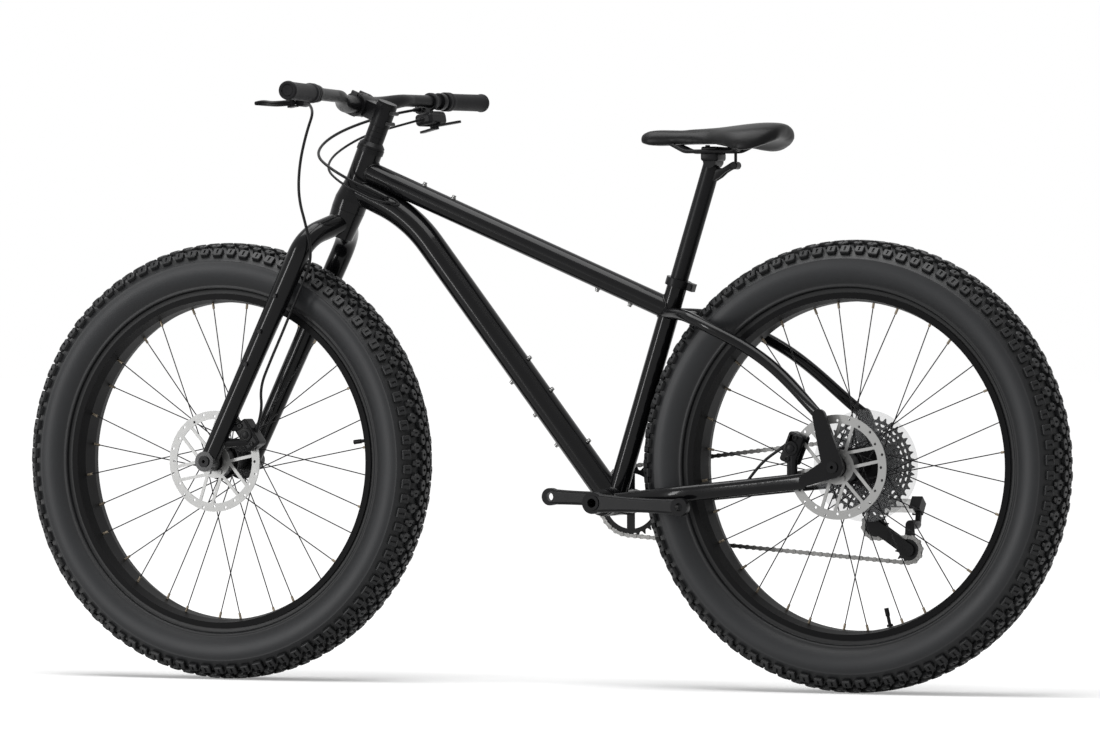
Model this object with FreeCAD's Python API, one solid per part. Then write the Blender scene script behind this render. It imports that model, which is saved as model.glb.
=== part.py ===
import FreeCAD
import Part
import math
import os

# Rigid fat bike seen from its left side: welded frame and fork, two wide knobbly tyres on
# wire-spoked wheels, disc brakes, one chainring, eleven sprockets, no pedals fitted.
# Millimetres. +X is forward, +Y is the rider's left, +Z is up.
# The origin is on the ground, midway between the two axles.

V = FreeCAD.Vector
X_AXIS = V(1, 0, 0)
Y_AXIS = V(0, 1, 0)
Z_AXIS = V(0, 0, 1)
LEFT = 1
RIGHT = -1

# Whole bike
WHEELBASE = 1208.0
TYRE_RADIUS = 390.0
BOTTOM_BRACKET_DROP = 66.0
TYRE_TO_BRACKET = 69.0
CHAINSTAY_LENGTH = TYRE_RADIUS + TYRE_TO_BRACKET
HEAD_ANGLE = 67.5
FORK_OFFSET = 46.0
TYRE_TO_CROWN = 116.0
AXLE_TO_CROWN = TYRE_RADIUS + TYRE_TO_CROWN
SEAT_ANGLE = 72.5
FRONT_HUB_WIDTH = 150.0
REAR_HUB_WIDTH = 197.0

# Gaps: between bodies that move, between a shaft and its bore, and the overrun of a cut
RUNNING_GAP = 0.4
FIT_GAP = 0.05
OVERRUN = 4.0

# Frame tubes
HEAD_TUBE_LENGTH = 110.0
HEAD_TUBE_RADIUS = 23.0
HEAD_TUBE_LOWER_RADIUS = 30.0
HEAD_TUBE_FLARE_SHARES = (0.16, 0.5)
UPPER_BEARING_RADIUS = 20.0
LOWER_BEARING_RADIUS = 25.0
BEARING_HEIGHT = 9.0
HEAD_BORE_LOWER_RADIUS = 22.0
HEAD_BORE_UPPER_RADIUS = 17.0
UPPER_CUP_HEIGHT = 9.0
UPPER_CUP_RADIUS = 24.5
TUBE_WALL = 2.2
TOP_TUBE_RADIUS = 19.5
TOP_TUBE_HEAD_SHARE = 0.70
TOP_TUBE_SEAT_SHARE = 0.863
DOWN_TUBE_RADIUS = 24.0
DOWN_TUBE_HEAD_SHARE = 0.36
DOWN_TUBE_START_ANGLE = 25.0
DOWN_TUBE_ANGLE = 51.8
DOWN_TUBE_BEND = 250.0
DOWN_TUBE_STOP = 4.0
SEAT_TUBE_LENGTH = 408.0
SEAT_TUBE_WALL = 1.8
SEAT_TUBE_SLOT_WIDTH = 2.4
SEAT_TUBE_SLOT_LENGTH = 34.0
SHELL_RADIUS = 24.0
SHELL_BORE = 19.0
SHELL_WIDTH = 100.0

# Stays: places as shares from the front joint to the rear axle, and half widths and heights
DROPOUT_THICKNESS = 10.0
CHAINSTAY_HALF_WIDTH = 8.5
CHAINSTAY_HALF_HEIGHT = 14.0
CHAINSTAY_LIFT = 48.0
# share along, share of the dropout's distance from the middle, share of the half width
CHAINSTAY_SHARES = (
    (0.02, 0.41, 1.2),
    (0.155, 0.56, 0.93),
    (0.29, 0.765, 0.98),
    (0.44, 0.81, 1.05),
    (0.6, 0.85, 1.05),
    (0.75, 0.91, 0.95),
    (0.885, 1.0, 0.56),
)
SEATSTAY_RADIUS = 10.0
SEATSTAY_SEAT_SHARE = 0.848
# share along, share of the dropout's distance from the middle, share of the fall, share of the radius
SEATSTAY_SHARES = (
    (0.0, 0.11, 0.0, 1.1),
    (0.089, 0.367, 0.008, 1.1),
    (0.183, 0.61, 0.03, 1.06),
    (0.28, 0.735, 0.08, 1.03),
    (0.497, 0.785, 0.216, 1.0),
    (0.831, 0.89, 0.557, 0.95),
    (0.926, 1.0, 0.667, 0.48),
)
STAY_BRIDGE_RADIUS = 6.0
STAY_BRIDGE_SHARE = 0.1
STAY_BRIDGE_FALL_SHARE = 0.01
STAY_BRIDGE_HALF_WIDTH = 42.0
DROPOUT_AXLE_RADIUS = 19.0
DROPOUT_ARM_RADIUS = 10.0
DROPOUT_TOP_RADIUS = 11.5

# Seat collar
COLLAR_WALL = 4.5
COLLAR_HEIGHT = 14.0
COLLAR_EAR_REACH = 12.0
COLLAR_EAR_WIDTH = 16.0
COLLAR_BOLT_STAND = 2.0
COLLAR_BOLT_SHARE = 0.25

# Accessory bolts: along-tube places as shares of the tube, and the bolt's own sizes
BOLT_BOSS_RADIUS = 4.6
BOLT_BOSS_HEIGHT = 1.6
BOLT_HEAD_RADIUS = 3.5
BOLT_HEAD_HEIGHT = 4.0
TOP_TUBE_UPPER_BOLT_SHARES = (0.19, 0.285)
TOP_TUBE_LOWER_BOLT_SHARES = (0.78, 0.885)
DOWN_TUBE_UPPER_BOLT_SHARES = (0.53, 0.64, 0.82)
DOWN_TUBE_LOWER_BOLT_SHARES = (0.55, 0.665, 0.77)
FORK_BOLT_SHARES = (0.16, 0.34, 0.505)

# Fork and steering column
STEERER_RADIUS = 14.3
STEERER_WALL = 2.4
STEERER_FOOT_RADIUS = 19.0
STEERER_FOOT_HEIGHT = 22.0
STEERER_TAPER_HEIGHT = 30.0
CROWN_HEIGHT = 50.0
CROWN_FOOT_RADIUS = 26.0
FORK_LEG_RADIUS = 19.5
FORK_LEG_FOOT_RADIUS = 16.5
FORK_LEG_WALL = 3.2
LEG_STRAIGHT_SHARE = 0.12
LEG_HOLLOW_SHARE = 0.9
FORK_LEG_SPREAD = 85.0
FORK_LEG_ROOT_DEPTH = 25.0
FORK_LEG_ROOT_SPREAD = 14.0
FORK_SHOULDER_DROP = 62.0
FORK_SHOULDER_FORWARD = 19.5
FORK_BEND = 55.0
FORK_END_RADIUS = 18.0
FORK_END_WIDTH = 27.0
FRONT_AXLE_RADIUS = 7.5
REAR_AXLE_RADIUS = 6.0
AXLE_HEAD_RADIUS = 10.0
AXLE_HEAD_HEIGHT = 3.0
AXLE_SOCKET_RADIUS = 3.0

# Headset cover, spacers, stem and bar
COVER_HEIGHT = 11.0
COVER_RADIUS = 23.5
COVER_STEP_SHARE = 0.33
SPACER_RADIUS = 17.5
SPACER_HEIGHT = 10.0
SPACER_COUNT = 3
SPACER_SEAM = 0.4
TOP_CAP_HEIGHT = 4.0
STEM_REACH = 50.0
STEM_HEIGHT = 40.0
STEM_WALL = 4.6
STEM_NECK_WIDTH = 30.0
STEM_NECK_HEIGHT = 30.0
STEM_BOLT_SIDE_SHARE = 0.68
STEM_BOLT_UP_SHARE = 0.86
STEM_BAR_WALL = 5.2
STEM_BAR_WIDTH = 46.0
STEM_SPLIT = 2.0
STEM_BOLT_RADIUS = 3.6
STEM_BOLT_HEIGHT = 5.0
BAR_CLAMP_RADIUS = 15.9
BAR_GRIP_RADIUS = 11.1
BAR_WALL = 2.0
BAR_HALF_WIDTH = 400.0
BAR_CLAMP_HALF_WIDTH = 42.0
BAR_BEND_END = 155.0
BAR_RISE = 11.0
BAR_SETBACK = 25.0
BAR_BACKSWEEP = 7.0
BAR_UPSWEEP = 0.5
# share along the bend, share of rise and setback, share of the way from thick to thin
BAR_BEND_SHARES = (
    (0.0, 0.0, 0.0),
    (0.16, 0.02, 0.05),
    (0.42, 0.36, 0.4),
    (0.68, 0.83, 0.8),
    (0.86, 0.98, 1.0),
    (1.0, 1.0, 1.0),
)
GRIP_LENGTH = 132.0
GRIP_WALL = 4.4
GRIP_COLLAR_WALL = 6.2
GRIP_COLLAR_LENGTH = 16.0
GRIP_END_THICKNESS = 3.0

# Brake levers and shifter, along the bar from the grip's inner end
BRAKE_CLAMP_WIDTH = 12.0
BRAKE_CLAMP_WALL = 4.5
BRAKE_CLAMP_INSET = 13.0
BRAKE_BODY_RADIUS = 8.5
BRAKE_BODY_REACH = 29.0
BRAKE_BODY_DROP = 9.0
BRAKE_BODY_INNER = 42.0
BRAKE_BODY_OUTER = 8.0
LEVER_PIVOT_REACH = 40.0
LEVER_PIVOT_OUTSET = 2.0
LEVER_EAR_LENGTH = 20.0
LEVER_EAR_WIDTH = 14.0
LEVER_PIVOT_RADIUS = 2.5
LEVER_HUB_RADIUS = 6.0
LEVER_HUB_HEIGHT = 10.0
LEVER_EAR_THICKNESS = 3.0
LEVER_LENGTH = 104.0
LEVER_REACH_GAIN = 30.0
LEVER_HALF_THICKNESS = 4.5
LEVER_HALF_HEIGHT = 5.5
# share of the length, share of the reach gained, share of the section
LEVER_SHARES = ((0.0, 0.0, 1.0), (0.2, 0.5, 0.95), (0.55, 0.72, 0.9), (0.88, 0.8, 0.85), (1.0, 1.0, 0.6))
LEVER_TILT = -10.0
SHIFTER_CLAMP_INSET = 44.0
SHIFTER_CLAMP_WIDTH = 10.0
SHIFTER_LENGTH = 56.0
SHIFTER_DEPTH = 36.0
SHIFTER_HEIGHT = 22.0
SHIFTER_DROP = 32.0
SHIFTER_ROUND = 7.0
SHIFTER_FORWARD = 5.0
SHIFTER_NECK = 10.0
PADDLE_PIVOT_RADIUS = 3.0
PADDLE_HUB_RADIUS = 8.0
PADDLE_THICKNESS = 4.0
PADDLE_LENGTH = 44.0
PADDLE_HALF_WIDTH = 6.0
RELEASE_LENGTH = 34.0
PADDLE_OUTWARD_SHARE = 0.35

# Wheels
RIM_RADIUS = 299.0
RIM_WIDTH = 80.0
RIM_WALL = 2.4
RIM_FLANGE_HEIGHT = 8.0
RIM_WELL_DEPTH = 5.0
RIM_WELL_SHARE = 0.45
BEAD_GAP = 0.3
TYRE_HALF_WIDTH = 56.0
TYRE_SHOULDER_HALF_WIDTH = 48.0
TYRE_SHOULDER_DROP = 12.0
TYRE_SIDEWALL = 3.0
TYRE_TREAD = 9.0
TYRE_WIDEST_SHARE = 0.5
LOWER_SIDE_SHARE = 0.72
UPPER_SIDE_SHARE = 0.68
CROWN_SIDE_SHARE = 0.55
CROWN_DROP_SHARE = 0.26
SPOKE_COUNT = 32
SPOKE_RADIUS = 1.0
SPOKE_CROSS_PITCHES = 2.75
SPOKE_ELBOW = 2.8
SPOKE_BEND_RADIUS = 1.3
NIPPLE_RADIUS = 2.2
NIPPLE_LENGTH = 14.0
NIPPLE_STAND = 1.0
RIM_HOLE_OFFSET = 13.0
HUB_STEP = 6.0
PILOT_END = 3.0
FLANGE_HOLE_RADIUS = 30.0
FLANGE_RADIUS = 34.0
FLANGE_THICKNESS = 3.2
HUB_BARREL_RADIUS = 16.0
HUB_END_RADIUS = 12.0
FRONT_FLANGE_PLACES = (34.0, -48.0)
REAR_FLANGE_PLACES = (50.0, -30.0)
VALVE_RADIUS = 3.0
VALVE_LENGTH = 34.0
VALVE_NUT_RADIUS = 5.5
VALVE_NUT_HEIGHT = 4.0
VALVE_CAP_RADIUS = 4.0
VALVE_CAP_LENGTH = 14.0
FRONT_VALVE_ANGLE = 172.0
REAR_VALVE_ANGLE = 257.0
PROTECTOR_RADIUS = 97.0
PROTECTOR_THICKNESS = 1.4
PROTECTOR_SIDE = -44.0
FREEHUB_INNER = -47.0

# Disc brakes
ROTOR_RADIUS = 90.0
ROTOR_TRACK = 15.0
ROTOR_THICKNESS = 2.0
ROTOR_HUB_RADIUS = 30.0
ROTOR_BORE = 17.5
ROTOR_ARMS = 6
ROTOR_ARM_WIDTH = 5.5
ROTOR_ARM_LEAN = 34.0
ROTOR_STRUT_LEAN = -8.0
ROTOR_SLOTS = 24
ROTOR_SLOT_RADIUS = 2.4
ROTOR_BOLT_CIRCLE_RADIUS = 22.0
ROTOR_BOLT_RADIUS = 4.0
ROTOR_BOLT_HEIGHT = 2.6
ROTOR_INSET = 14.0
CALIPER_LENGTH = 54.0
CALIPER_WIDTH = 34.0
CALIPER_DEPTH = 30.0
CALIPER_SLOT = 9.0
CALIPER_OVERLAP = 20.0
CALIPER_ROUND = 5.0
POST_SHARE = 0.3
REAR_POST_SHARES = (-0.5, 0.25)
ROTOR_ROOM = 2.0
PAD_GAP = 0.6
PAD_LENGTH = 26.0
PAD_DEPTH = 13.0
FRONT_CALIPER_ANGLE = 146.0
REAR_CALIPER_ANGLE = 22.0
BRACKET_RADIUS = 7.0

# Drivetrain
CHAIN_PITCH = 12.7
CHAIN_LINE = -70.0
CHAINRING_TEETH = 30
SPROCKET_TEETH = (11, 13, 15, 17, 19, 21, 24, 28, 32, 37, 42)
CHAIN_SPROCKET = 6
PULLEY_TEETH = 11
SPROCKET_SPACING = 4.0
SPROCKET_THICKNESS = 1.6
TOOTH_HEIGHT = 2.8
TOOTH_SEAT_RADIUS = 4.1
TOOTH_SEAT_ANGLE = 52.0
TOOTH_TIP_WIDTH = 1.6
FREEHUB_RADIUS = 17.0
SPROCKET_WINDOW_MINIMUM_TEETH = 24
SPROCKET_RIM = 9.0
SPROCKET_ARMS = 5
SPROCKET_ARM_WIDTH = 9.0
CHAIN_ROLLER_RADIUS = 3.85
CHAIN_PIN_RADIUS = 1.75
CHAIN_PIN_GAP = 0.35
CHAIN_PLATE_RADIUS = 4.1
CHAIN_PLATE_WAIST = 3.0
CHAIN_INNER_HALF_WIDTH = 1.15
CHAIN_PLATE_THICKNESS = 0.8
CHAIN_PLATE_GAP = 0.1
CHAINRING_CARRIER_RADIUS = 22.0
CHAINRING_RIM = 12.0
CHAINRING_ARMS = 4
CHAINRING_ARM_WIDTH = 15.0
CRANK_LENGTH = 170.0
CRANK_ANGLE = 181.7
SPINDLE_RADIUS = 12.0
SPINDLE_BORE = 8.0
CUP_FLANGE_RADIUS = 23.0
CUP_FLANGE_WIDTH = 9.0
CUP_DEPTH = 16.0
CRANK_INNER = 78.0
CRANK_OUTER = 98.0
PEDAL_INNER = 98.0
PEDAL_OUTER = 112.0
CRANK_BOSS_RADIUS = 19.0
# share of the length, share of the way out to the pedal, half thickness and half height
CRANK_ROUND = 5.0
CRANK_ROOT_HALF_THICKNESS = 9.0
CRANK_TIP_HALF_THICKNESS = 7.0
CRANK_ROOT_HALF_HEIGHT = 17.0
CRANK_WAIST_HALF_HEIGHT = 12.5
CRANK_TIP_HALF_HEIGHT = 14.0
CRANK_WAIST_SHARE = 0.55
PEDAL_BOSS_RADIUS = 15.5
PEDAL_THREAD_RADIUS = 7.14
CRANK_BOLT_RADIUS = 11.0
CRANK_CAP_RADIUS = 13.0
CRANK_BOLT_HEIGHT = 2.0
CRANK_SOCKET_RADIUS = 4.0

# Rear derailleur, with its places measured from the rear axle
HANGER_BACK = 6.0
HANGER_DROP = 29.0
HANGER_RADIUS = 11.0
KNUCKLE_RADIUS = 10.0
KNUCKLE_WIDTH = 14.0
LINK_LENGTH = 55.0
LINK_SLANT = 52.4
LINK_PIVOT_BACK = 8.0
LINK_PIVOT_DROP = 70.0
LINK_PIVOT_SIDE = -116.0
LINK_GAP = 15.0
LINK_THICKNESS = 4.0
LINK_HEIGHT = 15.0
LINK_END_RADIUS = 4.6
LINK_PIN_RADIUS = 2.0
WEB_THICKNESS = 9.0
WEB_GAP = 1.2
EAR_THICKNESS = 3.2
EAR_RADIUS = 5.0
GUIDE_BACK = 8.0
GUIDE_DROP = 104.0
TENSION_BACK = 70.0
TENSION_DROP = 145.0
CAGE_PIVOT_BACK = 70.0
CAGE_PIVOT_DROP = 102.0
CAGE_PIVOT_RADIUS = 8.0
CAGE_HALF_GAP = 4.2
CAGE_PLATE = 1.6
CAGE_END_RADIUS = 11.0
PULLEY_THICKNESS = 2.0
PULLEY_PIN_RADIUS = 3.0

# Seat
SEATPOST_RADIUS = 15.8
SEATPOST_WALL = 2.6
SEATPOST_INSERTION = 145.0
SEATPOST_STAND = 214.0
SEATPOST_HEAD_RADIUS = 12.0
HEAD_SINK_SHARE = 0.65
SEATPOST_HEAD_WIDTH = 36.0
RAIL_RADIUS = 3.5
RAIL_SPREAD = 22.0
RAIL_HEIGHT = 17.0
RAIL_STRAIGHT = 45.0
RAIL_BEND = 26.0
RAIL_NOSE_REACH = 102.0
RAIL_NOSE_SPREAD = 12.0
RAIL_NOSE_HEIGHT = 44.0
RAIL_TAIL_REACH = 96.0
RAIL_TAIL_SPREAD = 34.0
RAIL_TAIL_HEIGHT = 44.0
CLAMP_LENGTH = 40.0
CLAMP_LIFT = 3.0
CLAMP_TOP = 8.0
CLAMP_WIDTH = 56.0
CLAMP_SEAM = 1.0
CLAMP_BOLT_RADIUS = 3.0
CLAMP_BOLT_OFFSET = 15.0
SADDLE_NOSE = 136.0
SADDLE_TAIL = 140.0
SADDLE_HALF_WIDTH = 73.0
SADDLE_HEIGHT = 64.0
SADDLE_PAD = 38.0
SADDLE_SHELL = 4.0
# Shares from tail to nose, of half width, of the top's height, of the skirt's depth and of the arch
SADDLE_SHARES = (
    (0.0, 0.5, 0.95, 0.62, 0.1),
    (0.05, 0.78, 1.0, 0.95, 0.22),
    (0.16, 1.0, 1.0, 1.3, 0.42),
    (0.34, 0.84, 0.93, 1.02, 0.36),
    (0.5, 0.5, 0.865, 0.66, 0.2),
    (0.66, 0.33, 0.84, 0.6, 0.14),
    (0.84, 0.28, 0.85, 0.66, 0.1),
    (0.95, 0.24, 0.82, 0.6, 0.08),
    (1.0, 0.12, 0.72, 0.36, 0.05),
)
SADDLE_SHOULDER_SHARE = 0.6
SADDLE_CROWN_SHARE = 0.3
SADDLE_SHELL_SHARE = 0.9
SADDLE_BULGE_SHARE = 1.12
SADDLE_BULGE_LIFT_SHARE = 0.16

# Hoses and cable housing
HOSE_RADIUS = 2.6
HOUSING_RADIUS = 2.2
CORD_REACH_SHARE = 0.45
# Routes between their tied ends, each point in turn
FRONT_HOSE_ROUTE = (
    (352.0, 166.0, 1015.0),
    (388.0, 128.0, 972.0),
    (412.0, 108.0, 916.0),
    (412.0, 112.0, 858.0),
    (396.0, 112.0, 806.0),
    (392.0, 98.0, 756.0),
    (409.0, 88.0, 720.0),
    (431.0, 84.0, 678.0),
    (457.0, 82.0, 622.0),
    (483.0, 80.0, 570.0),
    (507.0, 74.0, 522.0),
    (505.0, 68.0, 478.0),
)
REAR_HOSE_ROUTE = (
    (354.0, -168.0, 1014.0),
    (392.0, -118.0, 998.0),
    (420.0, -64.0, 977.0),
    (426.0, -8.0, 954.0),
    (412.0, 38.0, 932.0),
    (376.0, 58.0, 910.0),
    (336.0, 56.0, 888.0),
    (304.0, 44.0, 872.0),
)
REAR_HOSE_TAIL_ROUTE = (
    (-432.0, 84.5, 358.0),
    (-452.0, 85.0, 384.0),
    (-480.0, 85.0, 410.0),
)
HOUSING_ROUTE = (
    (352.0, -150.0, 988.0),
    (384.0, -108.0, 974.0),
    (404.0, -60.0, 952.0),
    (408.0, -10.0, 930.0),
    (394.0, 34.0, 908.0),
    (360.0, 54.0, 886.0),
    (322.0, 52.0, 866.0),
    (290.0, 42.0, 850.0),
)
HOUSING_TAIL_ROUTE = (
    (-530.0, -100.0, 362.0),
    (-556.0, -116.0, 352.0),
    (-578.0, -118.0, 338.0),
)
FRONT_PORT_X = 281.0
HOUSING_PORT_X = 266.0
PORT_LIFT_SHARE = 0.6

# Main points that everything hangs on
REAR_AXLE = V(-WHEELBASE / 2, 0, TYRE_RADIUS)
FRONT_AXLE = V(WHEELBASE / 2, 0, TYRE_RADIUS)
BOTTOM_BRACKET = REAR_AXLE + V(
    math.sqrt(CHAINSTAY_LENGTH**2 - BOTTOM_BRACKET_DROP**2), 0, -BOTTOM_BRACKET_DROP
)
STEER_UP = V(-math.cos(math.radians(HEAD_ANGLE)), 0, math.sin(math.radians(HEAD_ANGLE)))
STEER_FORWARD = V(math.sin(math.radians(HEAD_ANGLE)), 0, math.cos(math.radians(HEAD_ANGLE)))
SEAT_UP = V(-math.cos(math.radians(SEAT_ANGLE)), 0, math.sin(math.radians(SEAT_ANGLE)))
CROWN_SEAT = (
    FRONT_AXLE
    - STEER_FORWARD * FORK_OFFSET
    + STEER_UP * math.sqrt(AXLE_TO_CROWN**2 - FORK_OFFSET**2)
)
HEAD_BOTTOM = RUNNING_GAP
HEAD_TOP = HEAD_BOTTOM + HEAD_TUBE_LENGTH
COVER_BOTTOM = HEAD_TOP + UPPER_CUP_HEIGHT + RUNNING_GAP
STEM_BOTTOM = COVER_BOTTOM + COVER_HEIGHT + SPACER_COUNT * SPACER_HEIGHT
STEM_TOP = STEM_BOTTOM + STEM_HEIGHT
STEM_MIDDLE = (STEM_BOTTOM + STEM_TOP) / 2
SEAT_TUBE_RADIUS = SEATPOST_RADIUS + FIT_GAP + SEAT_TUBE_WALL
DROPOUT_INNER = REAR_HUB_WIDTH / 2
DROPOUT_MIDDLE = DROPOUT_INNER + DROPOUT_THICKNESS / 2
DROPOUT_OUTER = DROPOUT_INNER + DROPOUT_THICKNESS
FRONT_ROTOR_SIDE = FRONT_HUB_WIDTH / 2 - ROTOR_INSET
REAR_ROTOR_SIDE = DROPOUT_INNER - ROTOR_INSET


def steer_point(up, forward=0.0, side=0.0):
    """Point by its height above the crown's seat, its distance ahead of the steering axis and its side."""
    return CROWN_SEAT + STEER_UP * up + STEER_FORWARD * forward + Y_AXIS * side


def seat_point(up, side=0.0):
    """Point on the seat tube's axis, at that height above the bottom bracket."""
    return BOTTOM_BRACKET + SEAT_UP * up + Y_AXIS * side


def unit(vector):
    return V(vector) * (1 / vector.Length)


def between(start, end, share):
    return start + (end - start) * share


def polar(centre, radius, degrees, side=0.0):
    """Point round an axle: 0 degrees is forward and 90 is up."""
    angle = math.radians(degrees)
    return centre + V(radius * math.cos(angle), side, radius * math.sin(angle))


# Shapes


def one_solid(shape):
    """The largest solid of a boolean's result."""
    return max(shape.Solids, key=lambda solid: solid.Volume)


def fuse(first, *others):
    return one_solid(first.multiFuse(list(others)).removeSplitter())


def cut(first, *others):
    """The largest solid left when each of the others is taken away in turn."""
    left = first
    for other in others:
        left = left.cut(other)
    return one_solid(left)


def rod(start, end, radius):
    return Part.makeCylinder(radius, (end - start).Length, start, end - start)


def rod_through(start, end, radius):
    """Rod that runs past both ends, for cutting a bore."""
    ahead = unit(end - start) * OVERRUN
    return rod(start - ahead, end + ahead, radius)


def pipe(start, end, radius, bore):
    return cut(rod(start, end, radius), rod_through(start, end, bore))


def taper(start, end, start_radius, end_radius):
    if abs(start_radius - end_radius) < FIT_GAP:
        return rod(start, end, start_radius)
    return Part.makeCone(start_radius, end_radius, (end - start).Length, start, end - start)


def lathe(profile, origin, axis):
    """Solid turned about an axis from (radius, distance along) points. An arc's middle has a third item."""
    edges = []
    points = [(V(p[0], 0, p[1]), len(p) > 2) for p in profile]
    here = points[0][0]
    middle = None
    for point, is_arc_middle in points[1:] + points[:1]:
        if is_arc_middle:
            middle = point
            continue
        if middle is not None:
            edges.append(Part.Arc(here, middle, point).toShape())
            middle = None
        else:
            edges.append(Part.makeLine(here, point))
        here = point
    face = Part.Face(Part.Wire(edges))
    turned = face.revolve(V(), Z_AXIS, 360)
    turned.Placement = FreeCAD.Placement(origin, FreeCAD.Rotation(Z_AXIS, axis))
    return one_solid(turned)


def bent_path(points, radii):
    """Edges of straight runs joined by tangent arcs, one radius for each inner point."""
    edges = []
    here = points[0]
    for corner, after, radius in zip(points[1:-1], points[2:], radii):
        inward = unit(here - corner)
        outward = unit(after - corner)
        half_turn = (math.pi - inward.getAngle(outward)) / 2
        reach = radius * math.tan(half_turn)
        start = corner + inward * reach
        end = corner + outward * reach
        bisector = unit(inward + outward)
        middle = corner + bisector * (radius / math.cos(half_turn) - radius)
        edges.append(Part.makeLine(here, start))
        edges.append(Part.Arc(start, middle, end).toShape())
        here = end
    edges.append(Part.makeLine(here, points[-1]))
    return edges


def bent_rod(points, radii, radius):
    """Round rod swept along straight runs and arcs."""
    path = Part.Wire(bent_path(points, radii))
    section = Part.Wire([Part.Circle(points[0], points[1] - points[0], radius).toShape()])
    return one_solid(path.makePipeShell([section], True, False))


def plate(points, low, high):
    """Flat plate across Y from corner vectors, between two sides. An arc's middle is given in a tuple."""
    edges = []
    here = points[0]
    middle = None
    for point in list(points[1:]) + [points[0]]:
        if isinstance(point, tuple):
            middle = point[0]
            continue
        edges.append(Part.Arc(here, middle, point).toShape() if middle else Part.makeLine(here, point))
        middle = None
        here = point
    face = Part.Face(Part.Wire(edges))
    moved = face.extrude(V(0, high - low, 0))
    moved.translate(V(0, low, 0))
    return moved


def flat(point):
    """The point moved to the bike's middle plane."""
    return V(point.x, 0, point.z)


def bar_link(start, end, start_radius, end_radius, low, high):
    """Plate across Y round two centres, with rounded ends of two radii."""
    start = flat(start)
    end = flat(end)
    ahead = unit(end - start)
    lean = math.asin((start_radius - end_radius) / (end - start).Length)
    across = V(-ahead.z, 0, ahead.x)
    upper = ahead * math.sin(lean) + across * math.cos(lean)
    lower = ahead * math.sin(lean) - across * math.cos(lean)
    return plate(
        [
            start + upper * start_radius,
            end + upper * end_radius,
            (end + ahead * end_radius,),
            end + lower * end_radius,
            start + lower * start_radius,
            (start - ahead * start_radius,),
        ],
        low,
        high,
    )


def oval_loft(stations):
    """Loft through upright ovals: each station is a centre, its half width across and its half height."""
    wires = []
    for index, (centre, half_width, half_height) in enumerate(stations):
        before = stations[max(index - 1, 0)][0]
        after = stations[min(index + 1, len(stations) - 1)][0]
        ahead = unit(after - before)
        across = unit(ahead.cross(Z_AXIS))
        upward = across.cross(ahead)
        if half_width > half_height:
            curve = Part.Ellipse(centre + across * half_width, centre + upward * half_height, centre)
        elif half_width < half_height:
            curve = Part.Ellipse(centre + upward * half_height, centre - across * half_width, centre)
        else:
            curve = Part.Circle(centre, ahead, half_width)
        wires.append(Part.Wire([curve.toShape()]))
    return one_solid(Part.makeLoft(wires, True, False))


def block(centre, ahead, up, length, width, height, rounding=0.0):
    """Box about a centre: length runs ahead, height runs up, and its edges may be rounded."""
    box = Part.makeBox(length, width, height, V(-length / 2, -width / 2, -height / 2))
    if rounding:
        box = one_solid(box.makeFillet(rounding, box.Edges))
    across = up.cross(ahead)
    box.Placement = FreeCAD.Placement(centre, FreeCAD.Rotation(unit(ahead), unit(across), unit(up), "XYZ"))
    return box


def mirrored(shape):
    return shape.mirror(V(), Y_AXIS)


def both_sides(shape):
    return [shape, mirrored(shape)]


def bolt(surface, outward, sunk):
    """Boss and bolt head that stand on a tube, sunk by a depth that the tube's own solid cuts away."""
    top = surface + outward * BOLT_BOSS_HEIGHT
    boss = rod(surface - outward * sunk, top, BOLT_BOSS_RADIUS)
    return fuse(boss, rod(surface, top + outward * BOLT_HEAD_HEIGHT, BOLT_HEAD_RADIUS))


# Frame

nodes = {}
SEAT_BACK = V(-math.sin(math.radians(SEAT_ANGLE)), 0, -math.cos(math.radians(SEAT_ANGLE)))

flare_low, flare_high = [HEAD_BOTTOM + HEAD_TUBE_LENGTH * share for share in HEAD_TUBE_FLARE_SHARES]
head_core = lathe(
    [
        (0, HEAD_BOTTOM),
        (HEAD_TUBE_LOWER_RADIUS, HEAD_BOTTOM),
        (HEAD_TUBE_LOWER_RADIUS, flare_low),
        (HEAD_TUBE_RADIUS, flare_high),
        (HEAD_TUBE_RADIUS, HEAD_TOP),
        (0, HEAD_TOP),
    ],
    CROWN_SEAT,
    STEER_UP,
)
lower_seat_top = HEAD_BOTTOM + BEARING_HEIGHT
upper_seat_bottom = HEAD_TOP - BEARING_HEIGHT
head_bore = lathe(
    [
        (0, HEAD_BOTTOM - OVERRUN),
        (LOWER_BEARING_RADIUS, HEAD_BOTTOM - OVERRUN),
        (LOWER_BEARING_RADIUS, lower_seat_top),
        (HEAD_BORE_LOWER_RADIUS, lower_seat_top),
        (HEAD_BORE_UPPER_RADIUS, upper_seat_bottom),
        (UPPER_BEARING_RADIUS, upper_seat_bottom),
        (UPPER_BEARING_RADIUS, HEAD_TOP + OVERRUN),
        (0, HEAD_TOP + OVERRUN),
    ],
    CROWN_SEAT,
    STEER_UP,
)
nodes["head_tube"] = [cut(head_core, head_bore)]

shell_core = rod(
    BOTTOM_BRACKET - Y_AXIS * (SHELL_WIDTH / 2), BOTTOM_BRACKET + Y_AXIS * (SHELL_WIDTH / 2), SHELL_RADIUS
)
shell_bore = rod_through(
    BOTTOM_BRACKET - Y_AXIS * (SHELL_WIDTH / 2), BOTTOM_BRACKET + Y_AXIS * (SHELL_WIDTH / 2), SHELL_BORE
)
nodes["bottom_bracket_shell"] = [cut(shell_core, shell_bore)]

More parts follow.
